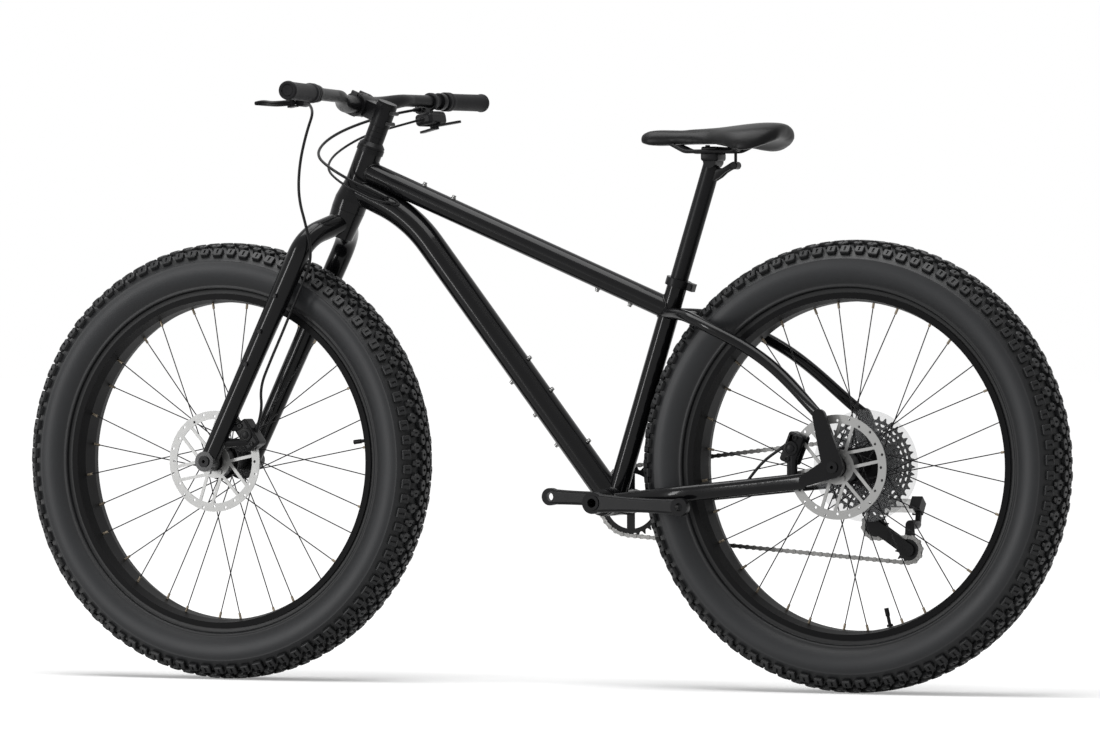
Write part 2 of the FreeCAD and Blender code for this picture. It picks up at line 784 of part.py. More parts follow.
seat_core = rod(seat_point(0), seat_point(SEAT_TUBE_LENGTH), SEAT_TUBE_RADIUS)
seat_slot = block(
    seat_point(SEAT_TUBE_LENGTH) + SEAT_BACK * SEAT_TUBE_RADIUS,
    SEAT_BACK,
    SEAT_UP,
    SEAT_TUBE_RADIUS,
    SEAT_TUBE_SLOT_WIDTH,
    2 * SEAT_TUBE_SLOT_LENGTH,
)
seat_bore = rod_through(seat_point(0), seat_point(SEAT_TUBE_LENGTH), SEATPOST_RADIUS + FIT_GAP)
nodes["seat_tube"] = [cut(seat_core, seat_bore, shell_core, seat_slot)]

collar_low = seat_point(SEAT_TUBE_LENGTH - COLLAR_HEIGHT)
collar_high = seat_point(SEAT_TUBE_LENGTH)
collar_radius = SEAT_TUBE_RADIUS + COLLAR_WALL
ear_reach = collar_radius + COLLAR_EAR_REACH / 2 - COLLAR_WALL
ear_centre = between(collar_low, collar_high, 1 / 2) + SEAT_BACK * ear_reach
collar = fuse(
    rod(collar_low, collar_high, collar_radius),
    block(ear_centre, SEAT_BACK, SEAT_UP, COLLAR_EAR_REACH + COLLAR_WALL, COLLAR_EAR_WIDTH, COLLAR_HEIGHT),
)
collar_bolt_reach = Y_AXIS * (COLLAR_EAR_WIDTH / 2 + COLLAR_BOLT_STAND)
collar_bolt_centre = ear_centre + SEAT_BACK * (COLLAR_EAR_REACH * COLLAR_BOLT_SHARE)
collar_bolt = rod(
    collar_bolt_centre - collar_bolt_reach, collar_bolt_centre + collar_bolt_reach, BOLT_HEAD_RADIUS
)
collar_bore = rod_through(collar_low, collar_high, SEAT_TUBE_RADIUS)
nodes["seat_collar"] = [cut(collar, collar_bore, seat_slot, collar_bolt), collar_bolt]

top_tube_head = steer_point(HEAD_BOTTOM + HEAD_TUBE_LENGTH * TOP_TUBE_HEAD_SHARE)
top_tube_seat = seat_point(SEAT_TUBE_LENGTH * TOP_TUBE_SEAT_SHARE)
top_core = rod(top_tube_head, top_tube_seat, TOP_TUBE_RADIUS)
top_bore = rod(top_tube_head, top_tube_seat, TOP_TUBE_RADIUS - TUBE_WALL)
nodes["top_tube"] = [cut(top_core, top_bore, head_core, seat_core)]

down_tube_head = steer_point(HEAD_BOTTOM + HEAD_TUBE_LENGTH * DOWN_TUBE_HEAD_SHARE)
start_slope = math.tan(math.radians(DOWN_TUBE_START_ANGLE))
main_slope = math.tan(math.radians(DOWN_TUBE_ANGLE))
bend_x = (
    down_tube_head.z - BOTTOM_BRACKET.z + main_slope * BOTTOM_BRACKET.x - start_slope * down_tube_head.x
) / (main_slope - start_slope)
down_tube_corner = V(bend_x, 0, BOTTOM_BRACKET.z + main_slope * (bend_x - BOTTOM_BRACKET.x))
down_tube_end = BOTTOM_BRACKET + unit(down_tube_corner - BOTTOM_BRACKET) * DOWN_TUBE_STOP
down_tube_route = [down_tube_head, down_tube_corner, down_tube_end]
down_core = bent_rod(down_tube_route, [DOWN_TUBE_BEND], DOWN_TUBE_RADIUS)
down_bore = bent_rod(down_tube_route, [DOWN_TUBE_BEND], DOWN_TUBE_RADIUS - TUBE_WALL)
nodes["down_tube"] = [cut(down_core, head_core, top_core, seat_core, shell_core, down_bore)]

# Rear triangle

dropout_front = between(BOTTOM_BRACKET, REAR_AXLE, CHAINSTAY_SHARES[-1][0])
dropout_front = V(dropout_front.x, 0, BOTTOM_BRACKET.z + CHAINSTAY_LIFT * CHAINSTAY_SHARES[-1][0])
seatstay_top = seat_point(SEAT_TUBE_LENGTH * SEATSTAY_SEAT_SHARE)


def seatstay_place(along_share, side_share, fall_share):
    return V(
        seatstay_top.x + (REAR_AXLE.x - seatstay_top.x) * along_share,
        DROPOUT_MIDDLE * side_share,
        seatstay_top.z + (REAR_AXLE.z - seatstay_top.z) * fall_share,
    )


dropout_top = seatstay_place(SEATSTAY_SHARES[-1][0], 0, SEATSTAY_SHARES[-1][2])
dropout_faces = (DROPOUT_INNER, DROPOUT_OUTER)
dropout = fuse(
    bar_link(REAR_AXLE, dropout_front, DROPOUT_AXLE_RADIUS, DROPOUT_ARM_RADIUS, *dropout_faces),
    bar_link(REAR_AXLE, dropout_top, DROPOUT_AXLE_RADIUS, DROPOUT_TOP_RADIUS, *dropout_faces),
)
rear_axle_bore = rod_through(
    REAR_AXLE - Y_AXIS * DROPOUT_OUTER, REAR_AXLE + Y_AXIS * DROPOUT_OUTER, REAR_AXLE_RADIUS
)
hanger_hole = REAR_AXLE + V(-HANGER_BACK, 0, -HANGER_DROP)
hanger = bar_link(REAR_AXLE, hanger_hole, DROPOUT_AXLE_RADIUS, HANGER_RADIUS, -DROPOUT_OUTER, -DROPOUT_INNER)
right_dropout = fuse(mirrored(dropout), hanger)
nodes["dropouts"] = [cut(dropout, rear_axle_bore), cut(right_dropout, rear_axle_bore)]

chainstay_stations = []
for along_share, side_share, width_share in CHAINSTAY_SHARES:
    centre = V(
        BOTTOM_BRACKET.x + (REAR_AXLE.x - BOTTOM_BRACKET.x) * along_share,
        DROPOUT_MIDDLE * side_share,
        BOTTOM_BRACKET.z + CHAINSTAY_LIFT * along_share,
    )
    chainstay_stations.append((centre, CHAINSTAY_HALF_WIDTH * width_share, CHAINSTAY_HALF_HEIGHT))
chainstay_core = oval_loft(chainstay_stations)
cup_room = rod(
    BOTTOM_BRACKET - Y_AXIS * SHELL_WIDTH, BOTTOM_BRACKET + Y_AXIS * SHELL_WIDTH, SHELL_RADIUS
)
left_chainstay = cut(chainstay_core, cup_room, dropout)
nodes["chainstays"] = both_sides(left_chainstay)

seatstay_stations = [
    (seatstay_place(along, side, fall), SEATSTAY_RADIUS * share, SEATSTAY_RADIUS)
    for along, side, fall, share in SEATSTAY_SHARES
]
seatstay_core = oval_loft(seatstay_stations)
left_seatstay = cut(seatstay_core, seat_core, top_core, dropout)
bridge_centre = seatstay_place(STAY_BRIDGE_SHARE, 0, STAY_BRIDGE_FALL_SHARE)
bridge_reach = Y_AXIS * STAY_BRIDGE_HALF_WIDTH
stay_bridge = cut(
    rod(bridge_centre - bridge_reach, bridge_centre + bridge_reach, STAY_BRIDGE_RADIUS),
    seatstay_core,
    mirrored(seatstay_core),
)
nodes["seatstays"] = both_sides(left_seatstay) + [stay_bridge]

# Bearings in the head tube and the bottom bracket

lower_bearing = pipe(
    steer_point(HEAD_BOTTOM),
    steer_point(lower_seat_top),
    LOWER_BEARING_RADIUS,
    STEERER_FOOT_RADIUS + FIT_GAP,
)
upper_bearing = pipe(
    steer_point(upper_seat_bottom), steer_point(HEAD_TOP), UPPER_BEARING_RADIUS, STEERER_RADIUS + FIT_GAP
)
upper_cup = pipe(
    steer_point(HEAD_TOP),
    steer_point(HEAD_TOP + UPPER_CUP_HEIGHT),
    UPPER_CUP_RADIUS,
    STEERER_RADIUS + FIT_GAP,
)
shell_side = BOTTOM_BRACKET + Y_AXIS * (SHELL_WIDTH / 2)
shell_cup = fuse(
    rod(shell_side - Y_AXIS * CUP_DEPTH, shell_side, SHELL_BORE),
    rod(shell_side, shell_side + Y_AXIS * CUP_FLANGE_WIDTH, CUP_FLANGE_RADIUS),
)
spindle_hole = rod_through(
    shell_side - Y_AXIS * CUP_DEPTH, shell_side + Y_AXIS * CUP_FLANGE_WIDTH, SPINDLE_RADIUS + FIT_GAP
)
nodes["bearing_cups"] = [lower_bearing, upper_bearing, upper_cup] + both_sides(cut(shell_cup, spindle_hole))

# Thru-axles, each with a socket head on the left


def thru_axle(axle, reach, radius):
    tip = axle + Y_AXIS * reach
    head = rod(tip, tip + Y_AXIS * AXLE_HEAD_HEIGHT, AXLE_HEAD_RADIUS)
    socket = rod_through(tip, tip + Y_AXIS * AXLE_HEAD_HEIGHT, AXLE_SOCKET_RADIUS)
    return cut(fuse(rod(axle - Y_AXIS * reach, tip, radius), head), socket)


nodes["rear_thru_axle"] = [thru_axle(REAR_AXLE, DROPOUT_OUTER, REAR_AXLE_RADIUS)]
fork_end_inner = FRONT_HUB_WIDTH / 2 + RUNNING_GAP
fork_end_outer = fork_end_inner + FORK_END_WIDTH
nodes["front_thru_axle"] = [thru_axle(FRONT_AXLE, fork_end_outer, FRONT_AXLE_RADIUS)]

# Accessory bolts on the tubes

top_tube_upward = unit(V(-(top_tube_head - top_tube_seat).z, 0, (top_tube_head - top_tube_seat).x))
down_tube_ahead = unit(down_tube_corner - BOTTOM_BRACKET)
down_tube_upward = V(-down_tube_ahead.z, 0, down_tube_ahead.x)
frame_bolts = []
for outward, shares in (
    (top_tube_upward, TOP_TUBE_UPPER_BOLT_SHARES),
    (-top_tube_upward, TOP_TUBE_LOWER_BOLT_SHARES),
):
    for share in shares:
        surface = between(top_tube_head, top_tube_seat, share) + outward * TOP_TUBE_RADIUS
        frame_bolts.append(cut(bolt(surface, outward, BOLT_BOSS_HEIGHT), top_core))
for outward, shares in (
    (down_tube_upward, DOWN_TUBE_UPPER_BOLT_SHARES),
    (-down_tube_upward, DOWN_TUBE_LOWER_BOLT_SHARES),
):
    for share in shares:
        surface = between(down_tube_corner, BOTTOM_BRACKET, share) + outward * DOWN_TUBE_RADIUS
        frame_bolts.append(cut(bolt(surface, outward, BOLT_BOSS_HEIGHT), down_core))
nodes["frame_bolts"] = frame_bolts

# Fork

steerer_top = STEM_TOP - TOP_CAP_HEIGHT
crown_outline = [
    (0, -CROWN_HEIGHT),
    (CROWN_FOOT_RADIUS, -CROWN_HEIGHT),
    (HEAD_TUBE_LOWER_RADIUS, 0),
    (STEERER_FOOT_RADIUS, 0),
    (STEERER_FOOT_RADIUS, STEERER_FOOT_HEIGHT),
    (STEERER_RADIUS, STEERER_FOOT_HEIGHT + STEERER_TAPER_HEIGHT),
    (STEERER_RADIUS, steerer_top),
    (0, steerer_top),
]
crown_core = lathe(crown_outline, CROWN_SEAT, STEER_UP)
steerer_bore = rod_through(
    steer_point(-CROWN_HEIGHT), steer_point(steerer_top), STEERER_RADIUS - STEERER_WALL
)
nodes["fork_crown"] = [cut(crown_core, steerer_bore)]

leg_root = steer_point(-FORK_LEG_ROOT_DEPTH, 0, FORK_LEG_ROOT_SPREAD)
leg_corner = steer_point(-FORK_SHOULDER_DROP, FORK_SHOULDER_FORWARD, FORK_LEG_SPREAD)
leg_foot = FRONT_AXLE + Y_AXIS * FORK_LEG_SPREAD
leg_start = between(leg_corner, leg_foot, LEG_STRAIGHT_SHARE)
fork_end = rod(FRONT_AXLE + Y_AXIS * fork_end_inner, FRONT_AXLE + Y_AXIS * fork_end_outer, FORK_END_RADIUS)
leg_core = fuse(
    bent_rod([leg_root, leg_corner, leg_start], [FORK_BEND], FORK_LEG_RADIUS),
    taper(leg_start, leg_foot, FORK_LEG_RADIUS, FORK_LEG_FOOT_RADIUS),
    fork_end,
)
hollow_end = between(leg_start, leg_foot, LEG_HOLLOW_SHARE)
leg_hollow = fuse(
    bent_rod([leg_root, leg_corner, leg_start], [FORK_BEND], FORK_LEG_RADIUS - FORK_LEG_WALL),
    taper(leg_start, hollow_end, FORK_LEG_RADIUS - FORK_LEG_WALL, FORK_LEG_FOOT_RADIUS - FORK_LEG_WALL),
)
front_axle_bore = rod_through(
    FRONT_AXLE - Y_AXIS * fork_end_outer, FRONT_AXLE + Y_AXIS * fork_end_outer, FRONT_AXLE_RADIUS
)
hub_room = rod(FRONT_AXLE, FRONT_AXLE + Y_AXIS * fork_end_inner, FORK_END_RADIUS + OVERRUN)
left_leg = cut(leg_core, leg_hollow, crown_core, front_axle_bore, hub_room)
nodes["fork_legs"] = both_sides(left_leg)

fork_bolts = []
for share in FORK_BOLT_SHARES:
    bolt_radius = FORK_LEG_RADIUS + (FORK_LEG_FOOT_RADIUS - FORK_LEG_RADIUS) * share
    surface = between(leg_start, leg_foot, share) + Y_AXIS * bolt_radius
    fork_bolts += both_sides(cut(bolt(surface, Y_AXIS, BOLT_BOSS_HEIGHT), leg_core))

# Headset cover, spacers, stem and bar

cover_top = COVER_BOTTOM + COVER_HEIGHT
cover = lathe(
    [
        (STEERER_RADIUS, COVER_BOTTOM),
        (COVER_RADIUS, COVER_BOTTOM),
        (COVER_RADIUS, COVER_BOTTOM + COVER_HEIGHT * COVER_STEP_SHARE),
        (SPACER_RADIUS, cover_top - SPACER_SEAM),
        (STEERER_RADIUS, cover_top - SPACER_SEAM),
    ],
    CROWN_SEAT,
    STEER_UP,
)
spacers = [cover]
for index in range(SPACER_COUNT):
    low = cover_top + index * SPACER_HEIGHT
    spacers.append(
        pipe(steer_point(low), steer_point(low + SPACER_HEIGHT - SPACER_SEAM), SPACER_RADIUS, STEERER_RADIUS)
    )
spacers.append(rod(steer_point(STEM_TOP), steer_point(STEM_TOP + TOP_CAP_HEIGHT), SPACER_RADIUS))
nodes["headset_spacers"] = spacers

bar_centre = steer_point(STEM_MIDDLE, STEM_REACH)
stem_radius = STEERER_RADIUS + STEM_WALL
bar_clamp_radius = BAR_CLAMP_RADIUS + STEM_BAR_WALL
clamp_reach = Y_AXIS * (STEM_BAR_WIDTH / 2)
steerer_clamp = rod(steer_point(STEM_BOTTOM), steer_point(STEM_TOP), stem_radius)
bar_clamp = rod(bar_centre - clamp_reach, bar_centre + clamp_reach, bar_clamp_radius)
neck = block(
    steer_point(STEM_MIDDLE, STEM_REACH / 2),
    STEER_FORWARD,
    STEER_UP,
    STEM_REACH,
    STEM_NECK_WIDTH,
    STEM_NECK_HEIGHT,
)
bar_hole = rod_through(bar_centre - clamp_reach, bar_centre + clamp_reach, BAR_CLAMP_RADIUS)
steerer_hole = rod_through(steer_point(STEM_BOTTOM), steer_point(STEM_TOP), STEERER_RADIUS)
split_size = 4 * bar_clamp_radius
front_half = block(
    bar_centre + STEER_FORWARD * (split_size / 2 - STEM_SPLIT / 2),
    STEER_FORWARD,
    STEER_UP,
    split_size,
    split_size,
    split_size,
)
back_half = block(
    bar_centre - STEER_FORWARD * (split_size / 2 - STEM_SPLIT / 2),
    STEER_FORWARD,
    STEER_UP,
    split_size,
    split_size,
    split_size,
)
faceplate_bolts = []
for side in (LEFT, RIGHT):
    for up in (LEFT, RIGHT):
        centre = (
            bar_centre
            + clamp_reach * (side * STEM_BOLT_SIDE_SHARE)
            + STEER_UP * (up * bar_clamp_radius * STEM_BOLT_UP_SHARE)
        )
        faceplate_bolts.append(
            rod(
                centre - STEER_FORWARD * STEM_BOLT_HEIGHT,
                centre + STEER_FORWARD * (bar_clamp_radius / 2 + STEM_BOLT_HEIGHT),
                STEM_BOLT_RADIUS,
            )
        )
bar_core = rod(bar_centre - clamp_reach, bar_centre + clamp_reach, BAR_CLAMP_RADIUS)
faceplate_bolts = [cut(screw, bar_core) for screw in faceplate_bolts]
steerer_bolts = []
for up in (-1 / 4, 1 / 4):
    centre = steer_point(STEM_MIDDLE + STEM_HEIGHT * up, -stem_radius)
    steerer_bolts.append(
        rod(
            centre - Y_AXIS * stem_radius * STEM_BOLT_SIDE_SHARE,
            centre + Y_AXIS * stem_radius * STEM_BOLT_SIDE_SHARE,
            STEM_BOLT_RADIUS,
        )
    )
steerer_core = rod(steer_point(STEM_BOTTOM), steer_point(STEM_TOP), stem_radius)
stem_core = fuse(steerer_clamp, neck, bar_clamp)
nodes["stem_body"] = [cut(stem_core, bar_hole, steerer_hole, front_half, *faceplate_bolts)]
nodes["stem_faceplate"] = [cut(bar_clamp, bar_hole, back_half, *faceplate_bolts)]
clamp_screws = [cut(screw, steerer_core) for screw in steerer_bolts]
nodes["steering_bolts"] = fork_bolts + faceplate_bolts + clamp_screws

bend_start = bar_centre + Y_AXIS * BAR_CLAMP_HALF_WIDTH
bend_rise = V(-BAR_SETBACK, 0, BAR_RISE)
bar_ahead = unit(
    V(-math.tan(math.radians(BAR_BACKSWEEP)), 1, math.tan(math.radians(BAR_UPSWEEP)))
)
bend_end = bar_centre + V(0, BAR_BEND_END, 0) + bend_rise
bar_tip = bend_end + bar_ahead * ((BAR_HALF_WIDTH - BAR_BEND_END) / bar_ahead.y - GRIP_END_THICKNESS)


def bar_bend():
    """Left bend of the bar, which narrows from its clamp to its grip."""
    wires = []
    for along, rise, thin in BAR_BEND_SHARES:
        centre = bend_start + Y_AXIS * ((BAR_BEND_END - BAR_CLAMP_HALF_WIDTH) * along) + bend_rise * rise
        radius = BAR_CLAMP_RADIUS + (BAR_GRIP_RADIUS - BAR_CLAMP_RADIUS) * thin
        ahead = bar_ahead if along == 1.0 else Y_AXIS
        wires.append(Part.Wire([Part.Circle(centre, ahead, radius).toShape()]))
    return one_solid(Part.makeLoft(wires, True, False))


left_bar = fuse(bar_bend(), rod(bend_end, bar_tip, BAR_GRIP_RADIUS))
half_clamp = Y_AXIS * BAR_CLAMP_HALF_WIDTH
bar_middle = rod(bar_centre - half_clamp, bar_centre + half_clamp, BAR_CLAMP_RADIUS)
tip_bore = rod(bend_end + bar_ahead * OVERRUN, bar_tip + bar_ahead * OVERRUN, BAR_GRIP_RADIUS - BAR_WALL)
handlebar = fuse(bar_middle, left_bar, mirrored(left_bar))
nodes["handlebar"] = [cut(handlebar, tip_bore, mirrored(tip_bore))]

grip_profile = [
    (BAR_GRIP_RADIUS, -GRIP_LENGTH),
    (BAR_GRIP_RADIUS + GRIP_COLLAR_WALL, -GRIP_LENGTH),
    (BAR_GRIP_RADIUS + GRIP_COLLAR_WALL, GRIP_COLLAR_LENGTH - GRIP_LENGTH),
    (BAR_GRIP_RADIUS + GRIP_WALL, GRIP_COLLAR_LENGTH - GRIP_LENGTH),
    (BAR_GRIP_RADIUS + GRIP_WALL, 0),
    (BAR_GRIP_RADIUS, GRIP_END_THICKNESS),
    (0, GRIP_END_THICKNESS),
    (0, 0),
    (BAR_GRIP_RADIUS, 0),
]
nodes["grips"] = both_sides(lathe(grip_profile, bar_tip, bar_ahead))

# Brake levers and shifter

FORWARD_TILT = math.radians(LEVER_TILT)
level_ahead = unit(X_AXIS - bar_ahead * X_AXIS.dot(bar_ahead))
level_up = level_ahead.cross(bar_ahead)
lever_ahead = level_ahead * math.cos(FORWARD_TILT) + level_up * math.sin(FORWARD_TILT)
lever_up = level_up * math.cos(FORWARD_TILT) - level_ahead * math.sin(FORWARD_TILT)


def on_bar(inset, reach=0.0, up=0.0):
    """Point of the left control by its distance inside the grip, ahead of the bar and above it."""
    return bar_tip - bar_ahead * (GRIP_LENGTH + inset) + lever_ahead * reach + lever_up * up


def bar_ring(inset, width, wall):
    """Clamp round the bar, before the bar is cut from it."""
    return rod(on_bar(inset + width / 2), on_bar(inset - width / 2), BAR_GRIP_RADIUS + wall)


bar_rod = rod(bend_end, bar_tip, BAR_GRIP_RADIUS)
lever_pivot = on_bar(-LEVER_PIVOT_OUTSET, LEVER_PIVOT_REACH, -BRAKE_BODY_DROP)
ear_height = LEVER_HUB_HEIGHT / 2 + RUNNING_GAP + LEVER_EAR_THICKNESS / 2
ear_middle = on_bar(
    BRAKE_BODY_OUTER + LEVER_EAR_THICKNESS - LEVER_EAR_LENGTH / 2, LEVER_PIVOT_REACH, -BRAKE_BODY_DROP
)
lever_ears = [
    block(
        ear_middle + lever_up * (side * ear_height),
        bar_ahead,
        lever_up,
        LEVER_EAR_LENGTH,
        LEVER_EAR_WIDTH,
        LEVER_EAR_THICKNESS,
    )
    for side in (LEFT, RIGHT)
]
pin_reach = lever_up * (ear_height + LEVER_EAR_THICKNESS / 2)
lever_pin = rod(lever_pivot - pin_reach, lever_pivot + pin_reach, LEVER_PIVOT_RADIUS)
brake_cylinder = rod(
    on_bar(BRAKE_BODY_INNER, BRAKE_BODY_REACH, -BRAKE_BODY_DROP),
    on_bar(BRAKE_BODY_OUTER, BRAKE_BODY_REACH, -BRAKE_BODY_DROP),
    BRAKE_BODY_RADIUS,
)
brake_neck = block(
    on_bar(BRAKE_CLAMP_INSET, BRAKE_BODY_REACH / 2, -BRAKE_BODY_DROP / 2),
    lever_ahead,
    lever_up,
    BRAKE_BODY_REACH,
    BRAKE_CLAMP_WIDTH,
    BRAKE_BODY_RADIUS,
)
brake_body = fuse(
    cut(
        fuse(bar_ring(BRAKE_CLAMP_INSET, BRAKE_CLAMP_WIDTH, BRAKE_CLAMP_WALL), brake_neck, brake_cylinder),
        bar_rod,
    ),
    *lever_ears,
    lever_pin,
)
nodes["brake_lever_bodies"] = both_sides(brake_body)

blade_stations = []
for along, gain, section in LEVER_SHARES:
    centre = lever_pivot + bar_ahead * (LEVER_LENGTH * along) + lever_ahead * (LEVER_REACH_GAIN * gain)
    blade_stations.append((centre, LEVER_HALF_THICKNESS * section, LEVER_HALF_HEIGHT * section))
hub_reach = lever_up * (LEVER_HUB_HEIGHT / 2)
lever_hub = rod(lever_pivot - hub_reach, lever_pivot + hub_reach, LEVER_HUB_RADIUS)
lever_bore = rod_through(lever_pivot - hub_reach, lever_pivot + hub_reach, LEVER_PIVOT_RADIUS + FIT_GAP)
blade_ceiling = block(
    lever_pivot, bar_ahead, lever_up, 4 * LEVER_LENGTH, 4 * LEVER_LENGTH, LEVER_HUB_HEIGHT
)
blade = one_solid(oval_loft(blade_stations).common(blade_ceiling))
left_lever = cut(fuse(blade, lever_hub), lever_bore)
nodes["left_brake_lever"] = [left_lever]
nodes["right_brake_lever"] = [mirrored(left_lever)]

shifter_case = block(
    on_bar(SHIFTER_CLAMP_INSET, SHIFTER_FORWARD, -SHIFTER_DROP),
    bar_ahead,
    lever_up,
    SHIFTER_LENGTH,
    SHIFTER_DEPTH,
    SHIFTER_HEIGHT,
    SHIFTER_ROUND,
)
shifter_bottom = -SHIFTER_DROP - SHIFTER_HEIGHT / 2
shifter_neck = block(
    on_bar(SHIFTER_CLAMP_INSET, SHIFTER_FORWARD, -SHIFTER_DROP / 2),
    bar_ahead,
    lever_up,
    SHIFTER_NECK,
    SHIFTER_NECK,
    SHIFTER_DROP,
)
thumb_top = shifter_bottom - RUNNING_GAP
release_top = thumb_top - PADDLE_THICKNESS - RUNNING_GAP
pivot_bottom = release_top - PADDLE_THICKNESS
pin_root = shifter_bottom + SHIFTER_HEIGHT / 4
paddle_pin = rod(
    on_bar(SHIFTER_CLAMP_INSET, 0, pin_root),
    on_bar(SHIFTER_CLAMP_INSET, 0, pivot_bottom),
    PADDLE_PIVOT_RADIUS,
)
shifter_ring = bar_ring(SHIFTER_CLAMP_INSET, SHIFTER_CLAMP_WIDTH, BRAKE_CLAMP_WALL)
shifter = cut(fuse(shifter_case, shifter_neck, shifter_ring, paddle_pin), bar_rod)
nodes["shifter_body"] = [mirrored(shifter)]


def paddle(top, length, reach_sign):
    """Flat finger lever that turns on the shifter's pin, reaching back or ahead."""
    pivot = on_bar(SHIFTER_CLAMP_INSET, 0, top - PADDLE_THICKNESS / 2)
    ahead = unit(lever_ahead * reach_sign + bar_ahead * PADDLE_OUTWARD_SHARE)
    half = lever_up * (PADDLE_THICKNESS / 2)
    hub = rod(pivot - half, pivot + half, PADDLE_HUB_RADIUS)
    tip = pivot + ahead * length
    arm = block(
        between(pivot, tip, 1 / 2), ahead, lever_up, length, 2 * PADDLE_HALF_WIDTH, PADDLE_THICKNESS
    )
    end = rod(tip - half, tip + half, PADDLE_HALF_WIDTH)
    hole = rod_through(pivot - half, pivot + half, PADDLE_PIVOT_RADIUS + FIT_GAP)
    return mirrored(cut(fuse(hub, arm, end), hole))


nodes["shift_thumb_lever"] = [paddle(thumb_top, PADDLE_LENGTH, RIGHT)]
nodes["shift_release_lever"] = [paddle(release_top, RELEASE_LENGTH, LEFT)]

# Wheels

RIM_HALF = RIM_WIDTH / 2
BEAD_SEAT = RIM_RADIUS - RIM_FLANGE_HEIGHT
WELL_RADIUS = BEAD_SEAT - RIM_WELL_DEPTH
WELL_HALF = RIM_HALF * RIM_WELL_SHARE
WELL_INNER = WELL_RADIUS - RIM_WALL
rim_half_profile = [
    (RIM_RADIUS, RIM_HALF),
    (RIM_RADIUS, RIM_HALF - RIM_WALL),
    (BEAD_SEAT, RIM_HALF - RIM_WALL),
    (BEAD_SEAT, WELL_HALF + RIM_WELL_DEPTH),
    (WELL_RADIUS, WELL_HALF),
]
rim_inner_profile = [
    (WELL_INNER, -WELL_HALF),
    (BEAD_SEAT - RIM_WALL, -RIM_HALF),
]
rim_profile = (
    rim_half_profile
    + [(radius, -side) for radius, side in reversed(rim_half_profile)]
    + list(reversed(rim_inner_profile))
    + [(radius, -side) for radius, side in rim_inner_profile]
)
bead_outer = RIM_HALF - RIM_WALL - BEAD_GAP
widest = RIM_RADIUS + (TYRE_RADIUS - RIM_RADIUS) * TYRE_WIDEST_SHARE
shoulder = TYRE_RADIUS - TYRE_SHOULDER_DROP
lower_side = bead_outer + (TYRE_HALF_WIDTH - bead_outer) * LOWER_SIDE_SHARE
upper_side = TYRE_SHOULDER_HALF_WIDTH + (TYRE_HALF_WIDTH - TYRE_SHOULDER_HALF_WIDTH) * UPPER_SIDE_SHARE
crown_side = TYRE_SHOULDER_HALF_WIDTH * CROWN_SIDE_SHARE
crown_radius = TYRE_RADIUS - TYRE_SHOULDER_DROP * CROWN_DROP_SHARE
bead_top = RIM_RADIUS + BEAD_GAP
tyre_outer = [
    (BEAD_SEAT + BEAD_GAP, bead_outer),
    (bead_top, bead_outer),
    ((bead_top + widest) / 2, lower_side, "arc"),
    (widest, TYRE_HALF_WIDTH),
    ((widest + shoulder) / 2, upper_side, "arc"),
    (shoulder, TYRE_SHOULDER_HALF_WIDTH),
    (crown_radius, crown_side, "arc"),
    (TYRE_RADIUS, 0),
]
tyre_inner = [
    (TYRE_RADIUS - TYRE_TREAD, 0),
    (crown_radius - TYRE_TREAD, crown_side, "arc"),
    (shoulder - TYRE_TREAD, TYRE_SHOULDER_HALF_WIDTH - TYRE_SIDEWALL),
    ((widest + shoulder - TYRE_TREAD) / 2, upper_side - TYRE_SIDEWALL, "arc"),
    (widest, TYRE_HALF_WIDTH - TYRE_SIDEWALL),
    ((bead_top + widest) / 2, lower_side - TYRE_SIDEWALL, "arc"),
    (bead_top, bead_outer - TYRE_SIDEWALL),
    (BEAD_SEAT + BEAD_GAP, bead_outer - TYRE_SIDEWALL),
]


def flip(profile):
    """The profile's other side, in turn from its far end."""
    return [(item[0], -item[1]) + tuple(item[2:]) for item in reversed(profile)]


tyre_profile = tyre_outer + flip(tyre_outer)[1:] + flip(tyre_inner) + tyre_inner[1:]


def turned_about(shape, axle, degrees):
    copy = shape.copy()
    copy.rotate(axle, Y_AXIS, degrees)
    return copy


def spoke(axle, flange, side, cross, outside):
    """One spoke with its elbow, head and nipple, pointing forward at the rim, and the nipple's own rod."""
    offset = FLANGE_THICKNESS / 2 + SPOKE_ELBOW
    cross_angle = cross * SPOKE_CROSS_PITCHES * 720 / SPOKE_COUNT
    bend = polar(axle, FLANGE_HOLE_RADIUS, cross_angle, flange + outside * offset)
    head = polar(axle, FLANGE_HOLE_RADIUS, cross_angle, flange - outside * offset)
    seat = polar(axle, WELL_INNER, 0, side * RIM_HOLE_OFFSET)
    ahead = unit(seat - bend)
    tip = seat + ahead * (RIM_WALL + NIPPLE_STAND)
    nipple = rod(tip - ahead * NIPPLE_LENGTH, tip, NIPPLE_RADIUS)
    wire = rod(bend, tip - ahead * RIM_WALL, SPOKE_RADIUS)
    elbow = rod(bend, head, SPOKE_RADIUS)
    return fuse(wire, elbow, nipple, Part.makeSphere(SPOKE_BEND_RADIUS, bend)), nipple, elbow


